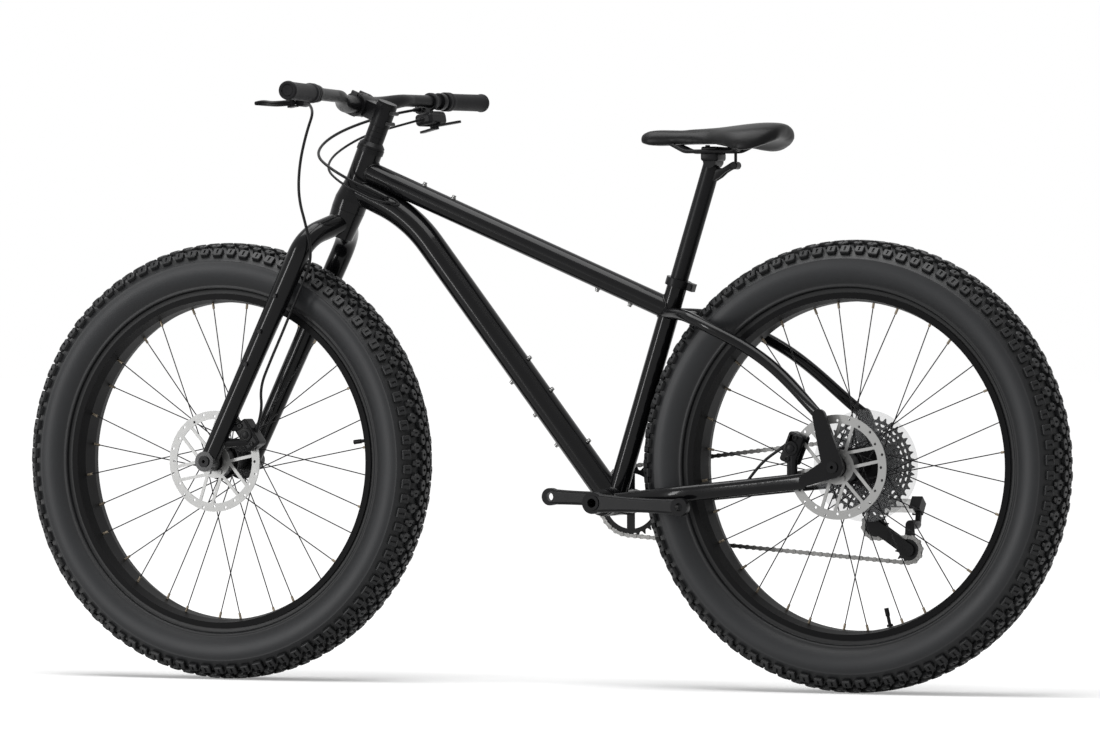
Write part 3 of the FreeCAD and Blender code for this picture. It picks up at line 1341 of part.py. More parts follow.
def wheel(prefix, axle, flanges, hub, rotor_side, valve_angle):
    spokes = []
    nipples = []
    elbows = []
    pitch = 360 / SPOKE_COUNT
    for side, flange in zip((LEFT, RIGHT), flanges):
        for cross in (LEFT, RIGHT):
            wire, nipple, elbow = spoke(axle, flange, side, cross, cross)
            for index in range(SPOKE_COUNT // 4):
                step = 4 * index + (0 if side == LEFT else 1) + (0 if cross == LEFT else 2)
                angle = (step + 1 / 2) * pitch
                spokes.append(turned_about(wire, axle, angle))
                nipples.append(turned_about(nipple, axle, angle))
                elbows.append(turned_about(elbow, axle, angle))
    valve_foot = polar(axle, WELL_RADIUS, valve_angle)
    valve_inward = unit(axle - valve_foot)
    stem_end = valve_foot + valve_inward * (VALVE_LENGTH + RIM_WALL)
    nut_low = valve_foot + valve_inward * (RIM_WALL + VALVE_RADIUS / 2)
    valve_stem = rod(valve_foot, stem_end, VALVE_RADIUS)
    rim = lathe(rim_profile, axle, Y_AXIS)
    nodes[prefix + "_rim"] = [cut(rim, Part.makeCompound(nipples), valve_stem)]
    nodes[prefix + "_valve"] = [
        fuse(
            valve_stem,
            rod(nut_low, nut_low + valve_inward * VALVE_NUT_HEIGHT, VALVE_NUT_RADIUS),
            rod(stem_end - valve_inward * VALVE_CAP_LENGTH, stem_end, VALVE_CAP_RADIUS),
        )
    ]
    nodes[prefix + "_tyre"] = [lathe(tyre_profile, axle, Y_AXIS)]
    nodes[prefix + "_spokes"] = spokes
    discs = [
        rod(
            axle + Y_AXIS * (flange - FLANGE_THICKNESS / 2),
            axle + Y_AXIS * (flange + FLANGE_THICKNESS / 2),
            FLANGE_RADIUS,
        )
        for flange in flanges
    ]
    bore = hub[0][0]
    core = fuse(lathe(hub, axle, Y_AXIS), *discs)
    hub_bore = rod_through(axle + Y_AXIS * hub[0][1], axle + Y_AXIS * hub[-1][1], bore)
    nodes[prefix + "_hub"] = [cut(core, hub_bore, Part.makeCompound(elbows))]
    nodes[prefix + "_rotor"] = rotor(axle, rotor_side)


def rotor(axle, side):
    """Brake disc: a slotted track on leaning arms and struts round a bolted centre."""
    low = side - ROTOR_THICKNESS / 2
    high = side + ROTOR_THICKNESS / 2
    low_point = axle + Y_AXIS * low
    high_point = axle + Y_AXIS * high
    track_inner = ROTOR_RADIUS - ROTOR_TRACK
    pieces = [
        pipe(low_point, high_point, ROTOR_RADIUS, track_inner),
        pipe(low_point, high_point, ROTOR_HUB_RADIUS, ROTOR_BORE),
    ]
    half = ROTOR_ARM_WIDTH / 2
    bolts = []
    holes = []
    for index in range(ROTOR_ARMS):
        angle = index * 360 / ROTOR_ARMS
        root = polar(axle, ROTOR_HUB_RADIUS - half, angle)
        for lean in (ROTOR_ARM_LEAN, ROTOR_STRUT_LEAN):
            tip = polar(axle, track_inner + half, angle + lean)
            pieces.append(bar_link(root, tip, half, half, low, high))
        foot = polar(axle, ROTOR_BOLT_CIRCLE_RADIUS, angle, high)
        bolts.append(rod(foot, foot + Y_AXIS * ROTOR_BOLT_HEIGHT, ROTOR_BOLT_RADIUS))
    slot_step = 360 / ROTOR_SLOTS
    for index in range(ROTOR_SLOTS):
        inner = index % 2
        place = polar(axle, track_inner + ROTOR_TRACK * (1 + inner) / 3, index * slot_step, low)
        holes.append(rod_through(place, place + Y_AXIS * ROTOR_THICKNESS, ROTOR_SLOT_RADIUS))
    return [cut(fuse(*pieces), Part.makeCompound(holes))] + bolts


def hub_profile(bore, right_end, left_end, rotor_side, flanges):
    """Hub turned from its right end to its left end, with the disc's seat near the left."""
    seat = rotor_side - ROTOR_THICKNESS / 2
    pilot = rotor_side + ROTOR_THICKNESS / 2 + PILOT_END
    return [
        (bore, right_end),
        (HUB_END_RADIUS, right_end),
        (HUB_END_RADIUS, flanges[1] - HUB_STEP - FLANGE_THICKNESS),
        (HUB_BARREL_RADIUS, flanges[1] - FLANGE_THICKNESS),
        (HUB_BARREL_RADIUS, flanges[0]),
        (ROTOR_HUB_RADIUS - RUNNING_GAP, flanges[0] + HUB_STEP),
        (ROTOR_HUB_RADIUS - RUNNING_GAP, seat),
        (ROTOR_BORE, seat),
        (ROTOR_BORE, pilot),
        (HUB_END_RADIUS, pilot),
        (HUB_END_RADIUS, left_end),
        (bore, left_end),
    ]


wheel(
    "front",
    FRONT_AXLE,
    FRONT_FLANGE_PLACES,
    hub_profile(
        FRONT_AXLE_RADIUS + FIT_GAP,
        -FRONT_HUB_WIDTH / 2,
        FRONT_HUB_WIDTH / 2,
        FRONT_ROTOR_SIDE,
        FRONT_FLANGE_PLACES,
    ),
    FRONT_ROTOR_SIDE,
    FRONT_VALVE_ANGLE,
)
wheel(
    "rear",
    REAR_AXLE,
    REAR_FLANGE_PLACES,
    hub_profile(
        REAR_AXLE_RADIUS + FIT_GAP,
        FREEHUB_INNER,
        DROPOUT_INNER - RUNNING_GAP,
        REAR_ROTOR_SIDE,
        REAR_FLANGE_PLACES,
    ),
    REAR_ROTOR_SIDE,
    REAR_VALVE_ANGLE,
)
nodes["rear_hub"].append(
    pipe(
        REAR_AXLE + Y_AXIS * (PROTECTOR_SIDE - PROTECTOR_THICKNESS),
        REAR_AXLE + Y_AXIS * PROTECTOR_SIDE,
        PROTECTOR_RADIUS,
        HUB_END_RADIUS,
    )
)

# Brake calipers


def caliper(axle, side, angle, posts, host):
    """Caliper across its disc, with two pads, and posts from it to the piece that it is bolted to."""
    radial = polar(V(), 1, angle)
    tangent = polar(V(), 1, angle + 90)
    centre = axle + radial * (ROTOR_RADIUS - CALIPER_OVERLAP + CALIPER_DEPTH / 2) + Y_AXIS * side
    body = block(centre, radial, Y_AXIS, CALIPER_DEPTH, CALIPER_LENGTH, CALIPER_WIDTH, CALIPER_ROUND)
    slot_half = Y_AXIS * (CALIPER_SLOT / 2)
    disc_centre = axle + Y_AXIS * side
    slot = rod(disc_centre - slot_half, disc_centre + slot_half, ROTOR_RADIUS + ROTOR_ROOM)
    legs = [rod(centre + tangent * along + start, end, BRACKET_RADIUS) for along, start, end in posts]
    joined = fuse(body, *legs)
    pad_thickness = (CALIPER_SLOT - ROTOR_THICKNESS) / 2 - PAD_GAP
    pad_side = Y_AXIS * (CALIPER_SLOT / 2 - pad_thickness / 2)
    pad_centre = disc_centre + radial * (ROTOR_RADIUS - ROTOR_TRACK / 2)
    pads = [
        block(pad_centre + pad_side * sign, radial, Y_AXIS, PAD_DEPTH, PAD_LENGTH, pad_thickness)
        for sign in (LEFT, RIGHT)
    ]
    return [cut(joined, slot, host)] + pads


post_along = CALIPER_LENGTH * POST_SHARE
front_post_start = Y_AXIS * (CALIPER_WIDTH / 2 - BRACKET_RADIUS)
front_caliper_centre = polar(
    FRONT_AXLE, ROTOR_RADIUS - CALIPER_OVERLAP + CALIPER_DEPTH / 2, FRONT_CALIPER_ANGLE, FRONT_ROTOR_SIDE
)
front_posts = []
for along in (-post_along, post_along):
    start = front_caliper_centre + polar(V(), along, FRONT_CALIPER_ANGLE + 90) + front_post_start
    leg_share = (leg_corner.z - start.z) / (leg_corner.z - leg_foot.z)
    front_posts.append((along, front_post_start, between(leg_corner, leg_foot, leg_share)))
nodes["front_caliper"] = caliper(FRONT_AXLE, FRONT_ROTOR_SIDE, FRONT_CALIPER_ANGLE, front_posts, leg_core)

rear_caliper_centre = polar(
    REAR_AXLE, ROTOR_RADIUS - CALIPER_OVERLAP + CALIPER_DEPTH / 2, REAR_CALIPER_ANGLE, REAR_ROTOR_SIDE
)
rear_posts = []
stay_side = DROPOUT_MIDDLE - CHAINSTAY_HALF_WIDTH
for share in REAR_POST_SHARES:
    along = post_along * share
    start = rear_caliper_centre + polar(V(), along, REAR_CALIPER_ANGLE + 90) + front_post_start
    rear_posts.append((along, front_post_start, V(start.x, stay_side, BOTTOM_BRACKET.z + CHAINSTAY_LIFT)))
nodes["rear_caliper"] = caliper(REAR_AXLE, REAR_ROTOR_SIDE, REAR_CALIPER_ANGLE, rear_posts, chainstay_core)

# Chain, chainring and sprockets


def pitch_radius(teeth):
    return CHAIN_PITCH / (2 * math.sin(math.pi / teeth))


def toothed_disc(centre, teeth, phase, side, thickness):
    """Toothed disc across Y with one roller seat at the phase angle."""
    radius = pitch_radius(teeth)
    tip_radius = radius + TOOTH_HEIGHT
    step = 360 / teeth
    tip_step = math.degrees(TOOTH_TIP_WIDTH / 2 / tip_radius)
    seat_turn = math.radians(TOOTH_SEAT_ANGLE)
    middle = flat(centre)
    outline = []
    for index in range(teeth):
        angle = phase + index * step
        outward = polar(V(), 1, angle)
        across = polar(V(), 1, angle + 90)
        seat = middle + outward * radius
        deep = outward * (TOOTH_SEAT_RADIUS * math.cos(seat_turn))
        wide = across * (TOOTH_SEAT_RADIUS * math.sin(seat_turn))
        outline.append(polar(middle, tip_radius, angle - step / 2 + tip_step))
        outline.append(seat - deep - wide)
        outline.append((seat - outward * TOOTH_SEAT_RADIUS,))
        outline.append(seat - deep + wide)
        outline.append(polar(middle, tip_radius, angle + step / 2 - tip_step))
    return plate(outline, side - thickness / 2, side + thickness / 2)


def disc_windows(centre, outer, inner, arms, arm_width, side, thickness):
    """Ring-shaped cutter with its arms left out, for the openings of a spidered disc."""
    low = flat(centre) + Y_AXIS * (side - thickness)
    high = flat(centre) + Y_AXIS * (side + thickness)
    ring = pipe(low, high, outer, inner)
    spars = [
        bar_link(
            centre,
            polar(centre, 2 * outer, index * 360 / arms),
            arm_width / 2,
            arm_width / 2,
            side - 2 * thickness,
            side + 2 * thickness,
        )
        for index in range(arms)
    ]
    return ring.cut(Part.makeCompound(spars))


guide_centre = REAR_AXLE + V(-GUIDE_BACK, 0, -GUIDE_DROP)
tension_centre = REAR_AXLE + V(-TENSION_BACK, 0, -TENSION_DROP)
# Each wheel that the chain runs round in turn, and whether it goes round it the same way as the chainring
chain_wheels = [
    (BOTTOM_BRACKET, CHAINRING_TEETH, LEFT),
    (REAR_AXLE, SPROCKET_TEETH[CHAIN_SPROCKET], LEFT),
    (guide_centre, PULLEY_TEETH, RIGHT),
    (tension_centre, PULLEY_TEETH, LEFT),
]


def chain_layout():
    """Pins of the chain in turn, and the angle of the first pin seated on each wheel."""
    directions = []
    for index, (centre, teeth, sense) in enumerate(chain_wheels):
        next_centre, next_teeth, next_sense = chain_wheels[(index + 1) % len(chain_wheels)]
        gap = next_centre - centre
        lean = (sense * pitch_radius(teeth) - next_sense * pitch_radius(next_teeth)) / gap.Length
        directions.append(math.atan2(gap.z, gap.x) + math.asin(lean))
    runs = []
    for index, (centre, teeth, sense) in enumerate(chain_wheels):
        arriving = directions[index - 1]
        leaving = directions[index]
        quarter = sense * math.pi / 2
        sweep = (sense * (leaving - arriving)) % (2 * math.pi)
        next_centre, next_teeth, next_sense = chain_wheels[(index + 1) % len(chain_wheels)]
        start = polar(centre, pitch_radius(teeth), math.degrees(leaving - quarter))
        end = polar(next_centre, pitch_radius(next_teeth), math.degrees(leaving - next_sense * math.pi / 2))
        runs.append((centre, teeth, sense, arriving - quarter, sweep, start, end))
    wrapped = sum(run[4] * run[1] / (2 * math.pi) for run in runs)
    straight = sum((run[6] - run[5]).Length for run in runs)
    links = 2 * round((wrapped + straight / CHAIN_PITCH) / 2)
    straight_pitch = straight / (links - wrapped)
    pins = []
    phases = []
    passed = 0.0
    for centre, teeth, sense, begin, sweep, start, end in runs:
        turn_links = sweep * teeth / (2 * math.pi)
        first = math.ceil(passed)
        phases.append(math.degrees(begin + sense * (first - passed) * 2 * math.pi / teeth))
        while first < passed + turn_links:
            angle = begin + sense * (first - passed) * 2 * math.pi / teeth
            pins.append(polar(centre, pitch_radius(teeth), math.degrees(angle)))
            first += 1
        passed += turn_links
        run_links = (end - start).Length / straight_pitch
        while first < passed + run_links and first < links:
            pins.append(between(start, end, (first - passed) / run_links))
            first += 1
        passed += run_links
    return pins, phases


def chain_plate(low):
    """One figure-eight plate between two pins, its low side given."""
    pin_ahead = X_AXIS * CHAIN_PITCH
    high = low + CHAIN_PLATE_THICKNESS
    ends = [rod(pin + Y_AXIS * low, pin + Y_AXIS * high, CHAIN_PLATE_RADIUS) for pin in (V(), pin_ahead)]
    waist = Part.makeBox(
        CHAIN_PITCH, CHAIN_PLATE_THICKNESS, 2 * CHAIN_PLATE_WAIST, V(0, low, -CHAIN_PLATE_WAIST)
    )
    return fuse(*ends, waist)


chain_outer_low = CHAIN_INNER_HALF_WIDTH + CHAIN_PLATE_THICKNESS + CHAIN_PLATE_GAP
chain_outer_high = chain_outer_low + CHAIN_PLATE_THICKNESS
inner_parts = both_sides(chain_plate(CHAIN_INNER_HALF_WIDTH))
outer_parts = both_sides(chain_plate(chain_outer_low))
pin_holes = []
for pin in (V(), X_AXIS * CHAIN_PITCH):
    roller_end = Y_AXIS * CHAIN_INNER_HALF_WIDTH
    pin_end = Y_AXIS * chain_outer_high
    inner_parts.append(rod(pin - roller_end, pin + roller_end, CHAIN_ROLLER_RADIUS))
    outer_parts.append(rod(pin - pin_end, pin + pin_end, CHAIN_PIN_RADIUS))
    pin_holes.append(rod_through(pin - pin_end, pin + pin_end, CHAIN_PIN_RADIUS + CHAIN_PIN_GAP))
inner_link = cut(fuse(*inner_parts), *pin_holes)
outer_link = fuse(*outer_parts)

chain_pins, wheel_phases = chain_layout()
chain_links = []
for index, pin in enumerate(chain_pins):
    next_pin = chain_pins[(index + 1) % len(chain_pins)]
    link = (inner_link, outer_link)[index % 2].copy()
    ahead = unit(next_pin - pin)
    slack = ((next_pin - pin).Length - CHAIN_PITCH) / 2
    link.Placement = FreeCAD.Placement(
        pin + ahead * slack + Y_AXIS * CHAIN_LINE,
        FreeCAD.Rotation(ahead, Y_AXIS, ahead.cross(Y_AXIS), "XYZ"),
    )
    chain_links.append(link)
nodes["chain"] = chain_links

ring_disc = toothed_disc(BOTTOM_BRACKET, CHAINRING_TEETH, wheel_phases[0], CHAIN_LINE, SPROCKET_THICKNESS)
ring_windows = disc_windows(
    BOTTOM_BRACKET,
    pitch_radius(CHAINRING_TEETH) - CHAINRING_RIM,
    CHAINRING_CARRIER_RADIUS,
    CHAINRING_ARMS,
    CHAINRING_ARM_WIDTH,
    CHAIN_LINE,
    SPROCKET_THICKNESS,
)
cup_outer = SHELL_WIDTH / 2 + CUP_FLANGE_WIDTH
carrier = rod(
    BOTTOM_BRACKET - Y_AXIS * CRANK_INNER,
    BOTTOM_BRACKET - Y_AXIS * (cup_outer + RUNNING_GAP),
    CHAINRING_CARRIER_RADIUS,
)
spindle_bore = rod_through(
    BOTTOM_BRACKET - Y_AXIS * CRANK_OUTER, BOTTOM_BRACKET + Y_AXIS * CRANK_OUTER, SPINDLE_RADIUS
)
nodes["chainring"] = [cut(fuse(cut(ring_disc, ring_windows), carrier), spindle_bore)]

freehub_outer = DROPOUT_INNER - RUNNING_GAP
freehub = pipe(
    REAR_AXLE - Y_AXIS * freehub_outer,
    REAR_AXLE + Y_AXIS * (FREEHUB_INNER - RUNNING_GAP),
    FREEHUB_RADIUS,
    REAR_AXLE_RADIUS + FIT_GAP,
)
sprockets = []
for index, teeth in enumerate(SPROCKET_TEETH):
    side = CHAIN_LINE + (index - CHAIN_SPROCKET) * SPROCKET_SPACING
    phase = wheel_phases[1]
    disc = toothed_disc(REAR_AXLE, teeth, phase, side, SPROCKET_THICKNESS)
    reach = Y_AXIS * SPROCKET_SPACING
    middle = REAR_AXLE + Y_AXIS * side
    bore = rod(middle - reach, middle + reach, FREEHUB_RADIUS)
    cutters = [bore]
    if teeth >= SPROCKET_WINDOW_MINIMUM_TEETH:
        cutters.append(
            disc_windows(
                REAR_AXLE,
                pitch_radius(teeth) - SPROCKET_RIM,
                FREEHUB_RADIUS + SPROCKET_RIM,
                SPROCKET_ARMS,
                SPROCKET_ARM_WIDTH,
                side,
                SPROCKET_THICKNESS,
            )
        )
    sprockets.append(cut(disc, *cutters))
nodes["cassette"] = [freehub] + sprockets

# Crankset


def rounded_section(centre, ahead, half_width, half_height, rounding):
    """Rounded rectangle across an arm: its width runs along Y."""
    up = ahead.cross(Y_AXIS)
    edges = []
    diagonal = rounding * (1 - math.sqrt(1 / 2))
    corners = [(1, 1), (-1, 1), (-1, -1), (1, -1)]
    turns = []
    for side, height in corners:
        wide = Y_AXIS * side
        tall = up * height
        corner = centre + wide * half_width + tall * half_height
        ends = (corner - tall * rounding, corner - wide * rounding)
        first, last = ends if side * height > 0 else reversed(ends)
        turns.append((first, corner - (wide + tall) * diagonal, last))
    for index, (first, middle, last) in enumerate(turns):
        edges.append(Part.Arc(first, middle, last).toShape())
        edges.append(Part.makeLine(last, turns[(index + 1) % len(turns)][0]))
    return Part.Wire(edges)


def crank_arm(side, angle):
    """One crank arm with its boss, its pedal thread and its bolt."""
    ahead = polar(V(), 1, angle)
    root_side = side * (CRANK_INNER + CRANK_OUTER) / 2
    tip_side = side * (PEDAL_INNER + PEDAL_OUTER) / 2
    root = BOTTOM_BRACKET + Y_AXIS * root_side
    tip = BOTTOM_BRACKET + ahead * CRANK_LENGTH + Y_AXIS * tip_side
    sections = [
        rounded_section(root, ahead, CRANK_ROOT_HALF_THICKNESS, CRANK_ROOT_HALF_HEIGHT, CRANK_ROUND),
        rounded_section(
            between(root, tip, CRANK_WAIST_SHARE),
            ahead,
            (CRANK_ROOT_HALF_THICKNESS + CRANK_TIP_HALF_THICKNESS) / 2,
            CRANK_WAIST_HALF_HEIGHT,
            CRANK_ROUND,
        ),
        rounded_section(tip, ahead, CRANK_TIP_HALF_THICKNESS, CRANK_TIP_HALF_HEIGHT, CRANK_ROUND),
    ]
    arm = one_solid(Part.makeLoft(sections, True, False))
    boss = rod(
        BOTTOM_BRACKET + Y_AXIS * (side * CRANK_INNER),
        BOTTOM_BRACKET + Y_AXIS * (side * CRANK_OUTER),
        CRANK_BOSS_RADIUS,
    )
    pedal_centre = BOTTOM_BRACKET + ahead * CRANK_LENGTH
    pedal_low = pedal_centre + Y_AXIS * (side * PEDAL_INNER)
    pedal_high = pedal_centre + Y_AXIS * (side * PEDAL_OUTER)
    joined = fuse(arm, boss, rod(pedal_low, pedal_high, PEDAL_BOSS_RADIUS))
    return cut(joined, spindle_bore, rod_through(pedal_low, pedal_high, PEDAL_THREAD_RADIUS))


crank_end = BOTTOM_BRACKET + Y_AXIS * CRANK_OUTER
crank_cap = rod(crank_end, crank_end + Y_AXIS * CRANK_BOLT_HEIGHT, CRANK_CAP_RADIUS)
spindle_reach = Y_AXIS * CRANK_OUTER
spindle_rod = rod(BOTTOM_BRACKET - spindle_reach, BOTTOM_BRACKET + spindle_reach, SPINDLE_RADIUS)
spindle = fuse(spindle_rod, crank_cap, mirrored(crank_cap))
spindle_hollow = rod_through(BOTTOM_BRACKET - spindle_reach, BOTTOM_BRACKET + spindle_reach, SPINDLE_BORE)
nodes["crank_arms"] = [
    crank_arm(LEFT, CRANK_ANGLE),
    crank_arm(RIGHT, CRANK_ANGLE - 180),
    cut(spindle, spindle_hollow),
]

# Rear derailleur

slant = math.radians(LINK_SLANT)
PIN_AXIS = V(0, math.sin(slant), math.cos(slant))
LINK_ACROSS = V(0, math.cos(slant), -math.sin(slant))
link_centre = REAR_AXLE + V(-LINK_PIVOT_BACK, LINK_PIVOT_SIDE, -LINK_PIVOT_DROP)
link_vector = -X_AXIS * LINK_LENGTH
pivot_offsets = (LINK_ACROSS * (-LINK_GAP / 2), LINK_ACROSS * (LINK_GAP / 2))


def derailleur_link(offset):
    """One link of the parallelogram, bored for a pin at each end."""
    start = link_centre + offset
    end = start + link_vector
    half = PIN_AXIS * (LINK_HEIGHT / 2)
    web = block(between(start, end, 1 / 2), X_AXIS, PIN_AXIS, LINK_LENGTH, LINK_THICKNESS, LINK_HEIGHT)
    ends = [rod(place - half, place + half, LINK_END_RADIUS) for place in (start, end)]
    bores = [rod_through(place - half, place + half, LINK_PIN_RADIUS + FIT_GAP) for place in (start, end)]
    return cut(fuse(web, *ends), *bores)


nodes["derailleur_outer_link"] = [derailleur_link(pivot_offsets[0])]
nodes["derailleur_inner_link"] = [derailleur_link(pivot_offsets[1])]

EAR_LOW = LINK_HEIGHT / 2 + RUNNING_GAP
web_middle = LINK_END_RADIUS + WEB_GAP + WEB_THICKNESS / 2


def forked_knuckle(centre, away):
    """Two ears over and under the link ends, joined by a web on one side, with their pins."""
    web_centre = centre + X_AXIS * (away * web_middle)
    pieces = [
        block(
            web_centre,
            X_AXIS,
            PIN_AXIS,
            WEB_THICKNESS,
            LINK_GAP + 2 * EAR_RADIUS,
            2 * (EAR_LOW + EAR_THICKNESS),
        )
    ]
    ear_reach = web_middle + EAR_RADIUS
    for sign in (LEFT, RIGHT):
        pieces.append(
            block(
                centre
                + X_AXIS * (away * (ear_reach / 2 - EAR_RADIUS))
                + PIN_AXIS * (sign * (EAR_LOW + EAR_THICKNESS / 2)),
                X_AXIS,
                PIN_AXIS,
                ear_reach,
                LINK_GAP + 2 * EAR_RADIUS,
                EAR_THICKNESS,
            )
        )
    pin_half = PIN_AXIS * (EAR_LOW + EAR_THICKNESS)
    for offset in pivot_offsets:
        pieces.append(rod(centre + offset - pin_half, centre + offset + pin_half, LINK_PIN_RADIUS))
    return pieces, web_centre


knuckle_pieces, knuckle_web = forked_knuckle(link_centre, LEFT)
knuckle_top = hanger_hole + X_AXIS * (knuckle_web.x - hanger_hole.x)
knuckle_inner = -DROPOUT_OUTER
knuckle_outer = knuckle_inner - KNUCKLE_WIDTH
web_half = WEB_THICKNESS / 2
nodes["derailleur_knuckle"] = [
    fuse(
        rod(hanger_hole + Y_AXIS * knuckle_outer, hanger_hole + Y_AXIS * knuckle_inner, KNUCKLE_RADIUS),
        bar_link(knuckle_web, knuckle_top, web_half, web_half, knuckle_outer, knuckle_inner),
        *knuckle_pieces,
    )
]

cage_pivot = REAR_AXLE + V(-CAGE_PIVOT_BACK, 0, -CAGE_PIVOT_DROP)
cage_outer = CHAIN_LINE - CAGE_HALF_GAP - CAGE_PLATE
cage_inner = CHAIN_LINE + CAGE_HALF_GAP + CAGE_PLATE
p_pieces, p_web = forked_knuckle(link_centre + link_vector, RIGHT)
boss_inner = cage_outer - RUNNING_GAP
boss_outer = LINK_PIVOT_SIDE + LINK_GAP / 2
nodes["derailleur_p_knuckle"] = [
    fuse(
        rod(cage_pivot + Y_AXIS * boss_outer, cage_pivot + Y_AXIS * boss_inner, CAGE_PIVOT_RADIUS),
        rod(
            cage_pivot + Y_AXIS * boss_inner,
            cage_pivot + Y_AXIS * (cage_outer + CAGE_PLATE),
            LINK_PIN_RADIUS,
        ),
        bar_link(p_web, cage_pivot, WEB_THICKNESS / 2, WEB_THICKNESS / 2, LINK_PIVOT_SIDE, boss_outer),
        *p_pieces,
    )
]

cage_plates = []
for low in (cage_outer, cage_inner - CAGE_PLATE):
    high = low + CAGE_PLATE
    long_arm = bar_link(guide_centre, tension_centre, CAGE_END_RADIUS, CAGE_END_RADIUS, low, high)
    if low == cage_outer:
        long_arm = fuse(
            long_arm, bar_link(cage_pivot, tension_centre, CAGE_PIVOT_RADIUS, CAGE_END_RADIUS, low, high)
        )
    cage_plates.append(long_arm)
pulley_pins = [
    rod(place + Y_AXIS * cage_outer, place + Y_AXIS * cage_inner, PULLEY_PIN_RADIUS)
    for place in (guide_centre, tension_centre)
]
pivot_hole = rod_through(
    cage_pivot + Y_AXIS * cage_outer,
    cage_pivot + Y_AXIS * (cage_outer + CAGE_PLATE),
    LINK_PIN_RADIUS + FIT_GAP,
)
nodes["derailleur_cage"] = [cut(fuse(cage_plates[0], cage_plates[1], *pulley_pins), pivot_hole)]

for name, centre, phase in (
    ("guide_pulley", guide_centre, wheel_phases[2]),
    ("tension_pulley", tension_centre, wheel_phases[3]),
):
    disc = toothed_disc(centre, PULLEY_TEETH, phase, CHAIN_LINE, PULLEY_THICKNESS)
    hub_half = Y_AXIS * (CAGE_HALF_GAP - RUNNING_GAP)
    hub_centre = centre + Y_AXIS * CHAIN_LINE
    hub = rod(hub_centre - hub_half, hub_centre + hub_half, 2 * PULLEY_PIN_RADIUS)
    nodes[name] = [
        cut(
            fuse(disc, hub),
            rod_through(hub_centre - hub_half, hub_centre + hub_half, PULLEY_PIN_RADIUS + FIT_GAP),
        )
    ]

# Seatpost, clamp and saddle

post_head = seat_point(SEAT_TUBE_LENGTH + SEATPOST_STAND)
post_bottom = seat_point(SEAT_TUBE_LENGTH - SEATPOST_INSERTION)
post_top = post_head - SEAT_UP * (SEATPOST_HEAD_RADIUS * HEAD_SINK_SHARE)
head_half = Y_AXIS * (SEATPOST_HEAD_WIDTH / 2)
post_core = fuse(
    rod(post_bottom, post_top, SEATPOST_RADIUS),
    rod(post_head - head_half, post_head + head_half, SEATPOST_HEAD_RADIUS),
)
hollow_top = post_top - SEAT_UP * (2 * SEATPOST_HEAD_RADIUS)
post_hollow = rod(post_bottom, hollow_top, SEATPOST_RADIUS - SEATPOST_WALL)
nodes["seatpost"] = [cut(post_core, post_hollow)]

rail_line = post_head + Z_AXIS * RAIL_HEIGHT


def rail_route(side):
    """Corners of a rail, from the post's head."""
    return [
        V(RAIL_NOSE_REACH, side * RAIL_NOSE_SPREAD, RAIL_NOSE_HEIGHT),
        V(RAIL_STRAIGHT, side * RAIL_SPREAD, RAIL_HEIGHT),
        V(-RAIL_STRAIGHT, side * RAIL_SPREAD, RAIL_HEIGHT),
        V(-RAIL_TAIL_REACH, side * RAIL_TAIL_SPREAD, RAIL_TAIL_HEIGHT),
    ]


rail_core = bent_rod(rail_route(LEFT), [RAIL_BEND, RAIL_BEND], RAIL_RADIUS)

seam_low = RAIL_HEIGHT - CLAMP_SEAM / 2
seam_high = RAIL_HEIGHT + CLAMP_SEAM / 2
lower_clamp = block(
    post_head + Z_AXIS * ((CLAMP_LIFT + seam_low) / 2),
    X_AXIS,
    Z_AXIS,
    CLAMP_LENGTH,
    CLAMP_WIDTH,
    seam_low - CLAMP_LIFT,
)
upper_clamp = block(
    post_head + Z_AXIS * (seam_high + CLAMP_TOP / 2), X_AXIS, Z_AXIS, CLAMP_LENGTH, CLAMP_WIDTH, CLAMP_TOP
)
groove_reach = X_AXIS * CLAMP_LENGTH
grooves = [
    rod(
        rail_line + Y_AXIS * (side * RAIL_SPREAD) - groove_reach,
        rail_line + Y_AXIS * (side * RAIL_SPREAD) + groove_reach,
        RAIL_RADIUS + RUNNING_GAP / 2,
    )
    for side in (LEFT, RIGHT)
]
head_gap = Y_AXIS * RUNNING_GAP
head_seat = rod(
    post_head - head_half - head_gap,
    post_head + head_half + head_gap,
    SEATPOST_HEAD_RADIUS + RUNNING_GAP / 2,
)
clamp_bolts = [
    rod(
        post_head + V(side * CLAMP_BOLT_OFFSET, 0, CLAMP_LIFT),
        post_head + V(side * CLAMP_BOLT_OFFSET, 0, seam_high + CLAMP_TOP + CLAMP_BOLT_RADIUS),
        CLAMP_BOLT_RADIUS,
    )
    for side in (LEFT, RIGHT)
]
nodes["saddle_clamp"] = [
    cut(lower_clamp, head_seat, *grooves, *clamp_bolts),
    cut(upper_clamp, *grooves, *clamp_bolts),
] + [cut(screw, head_seat) for screw in clamp_bolts]


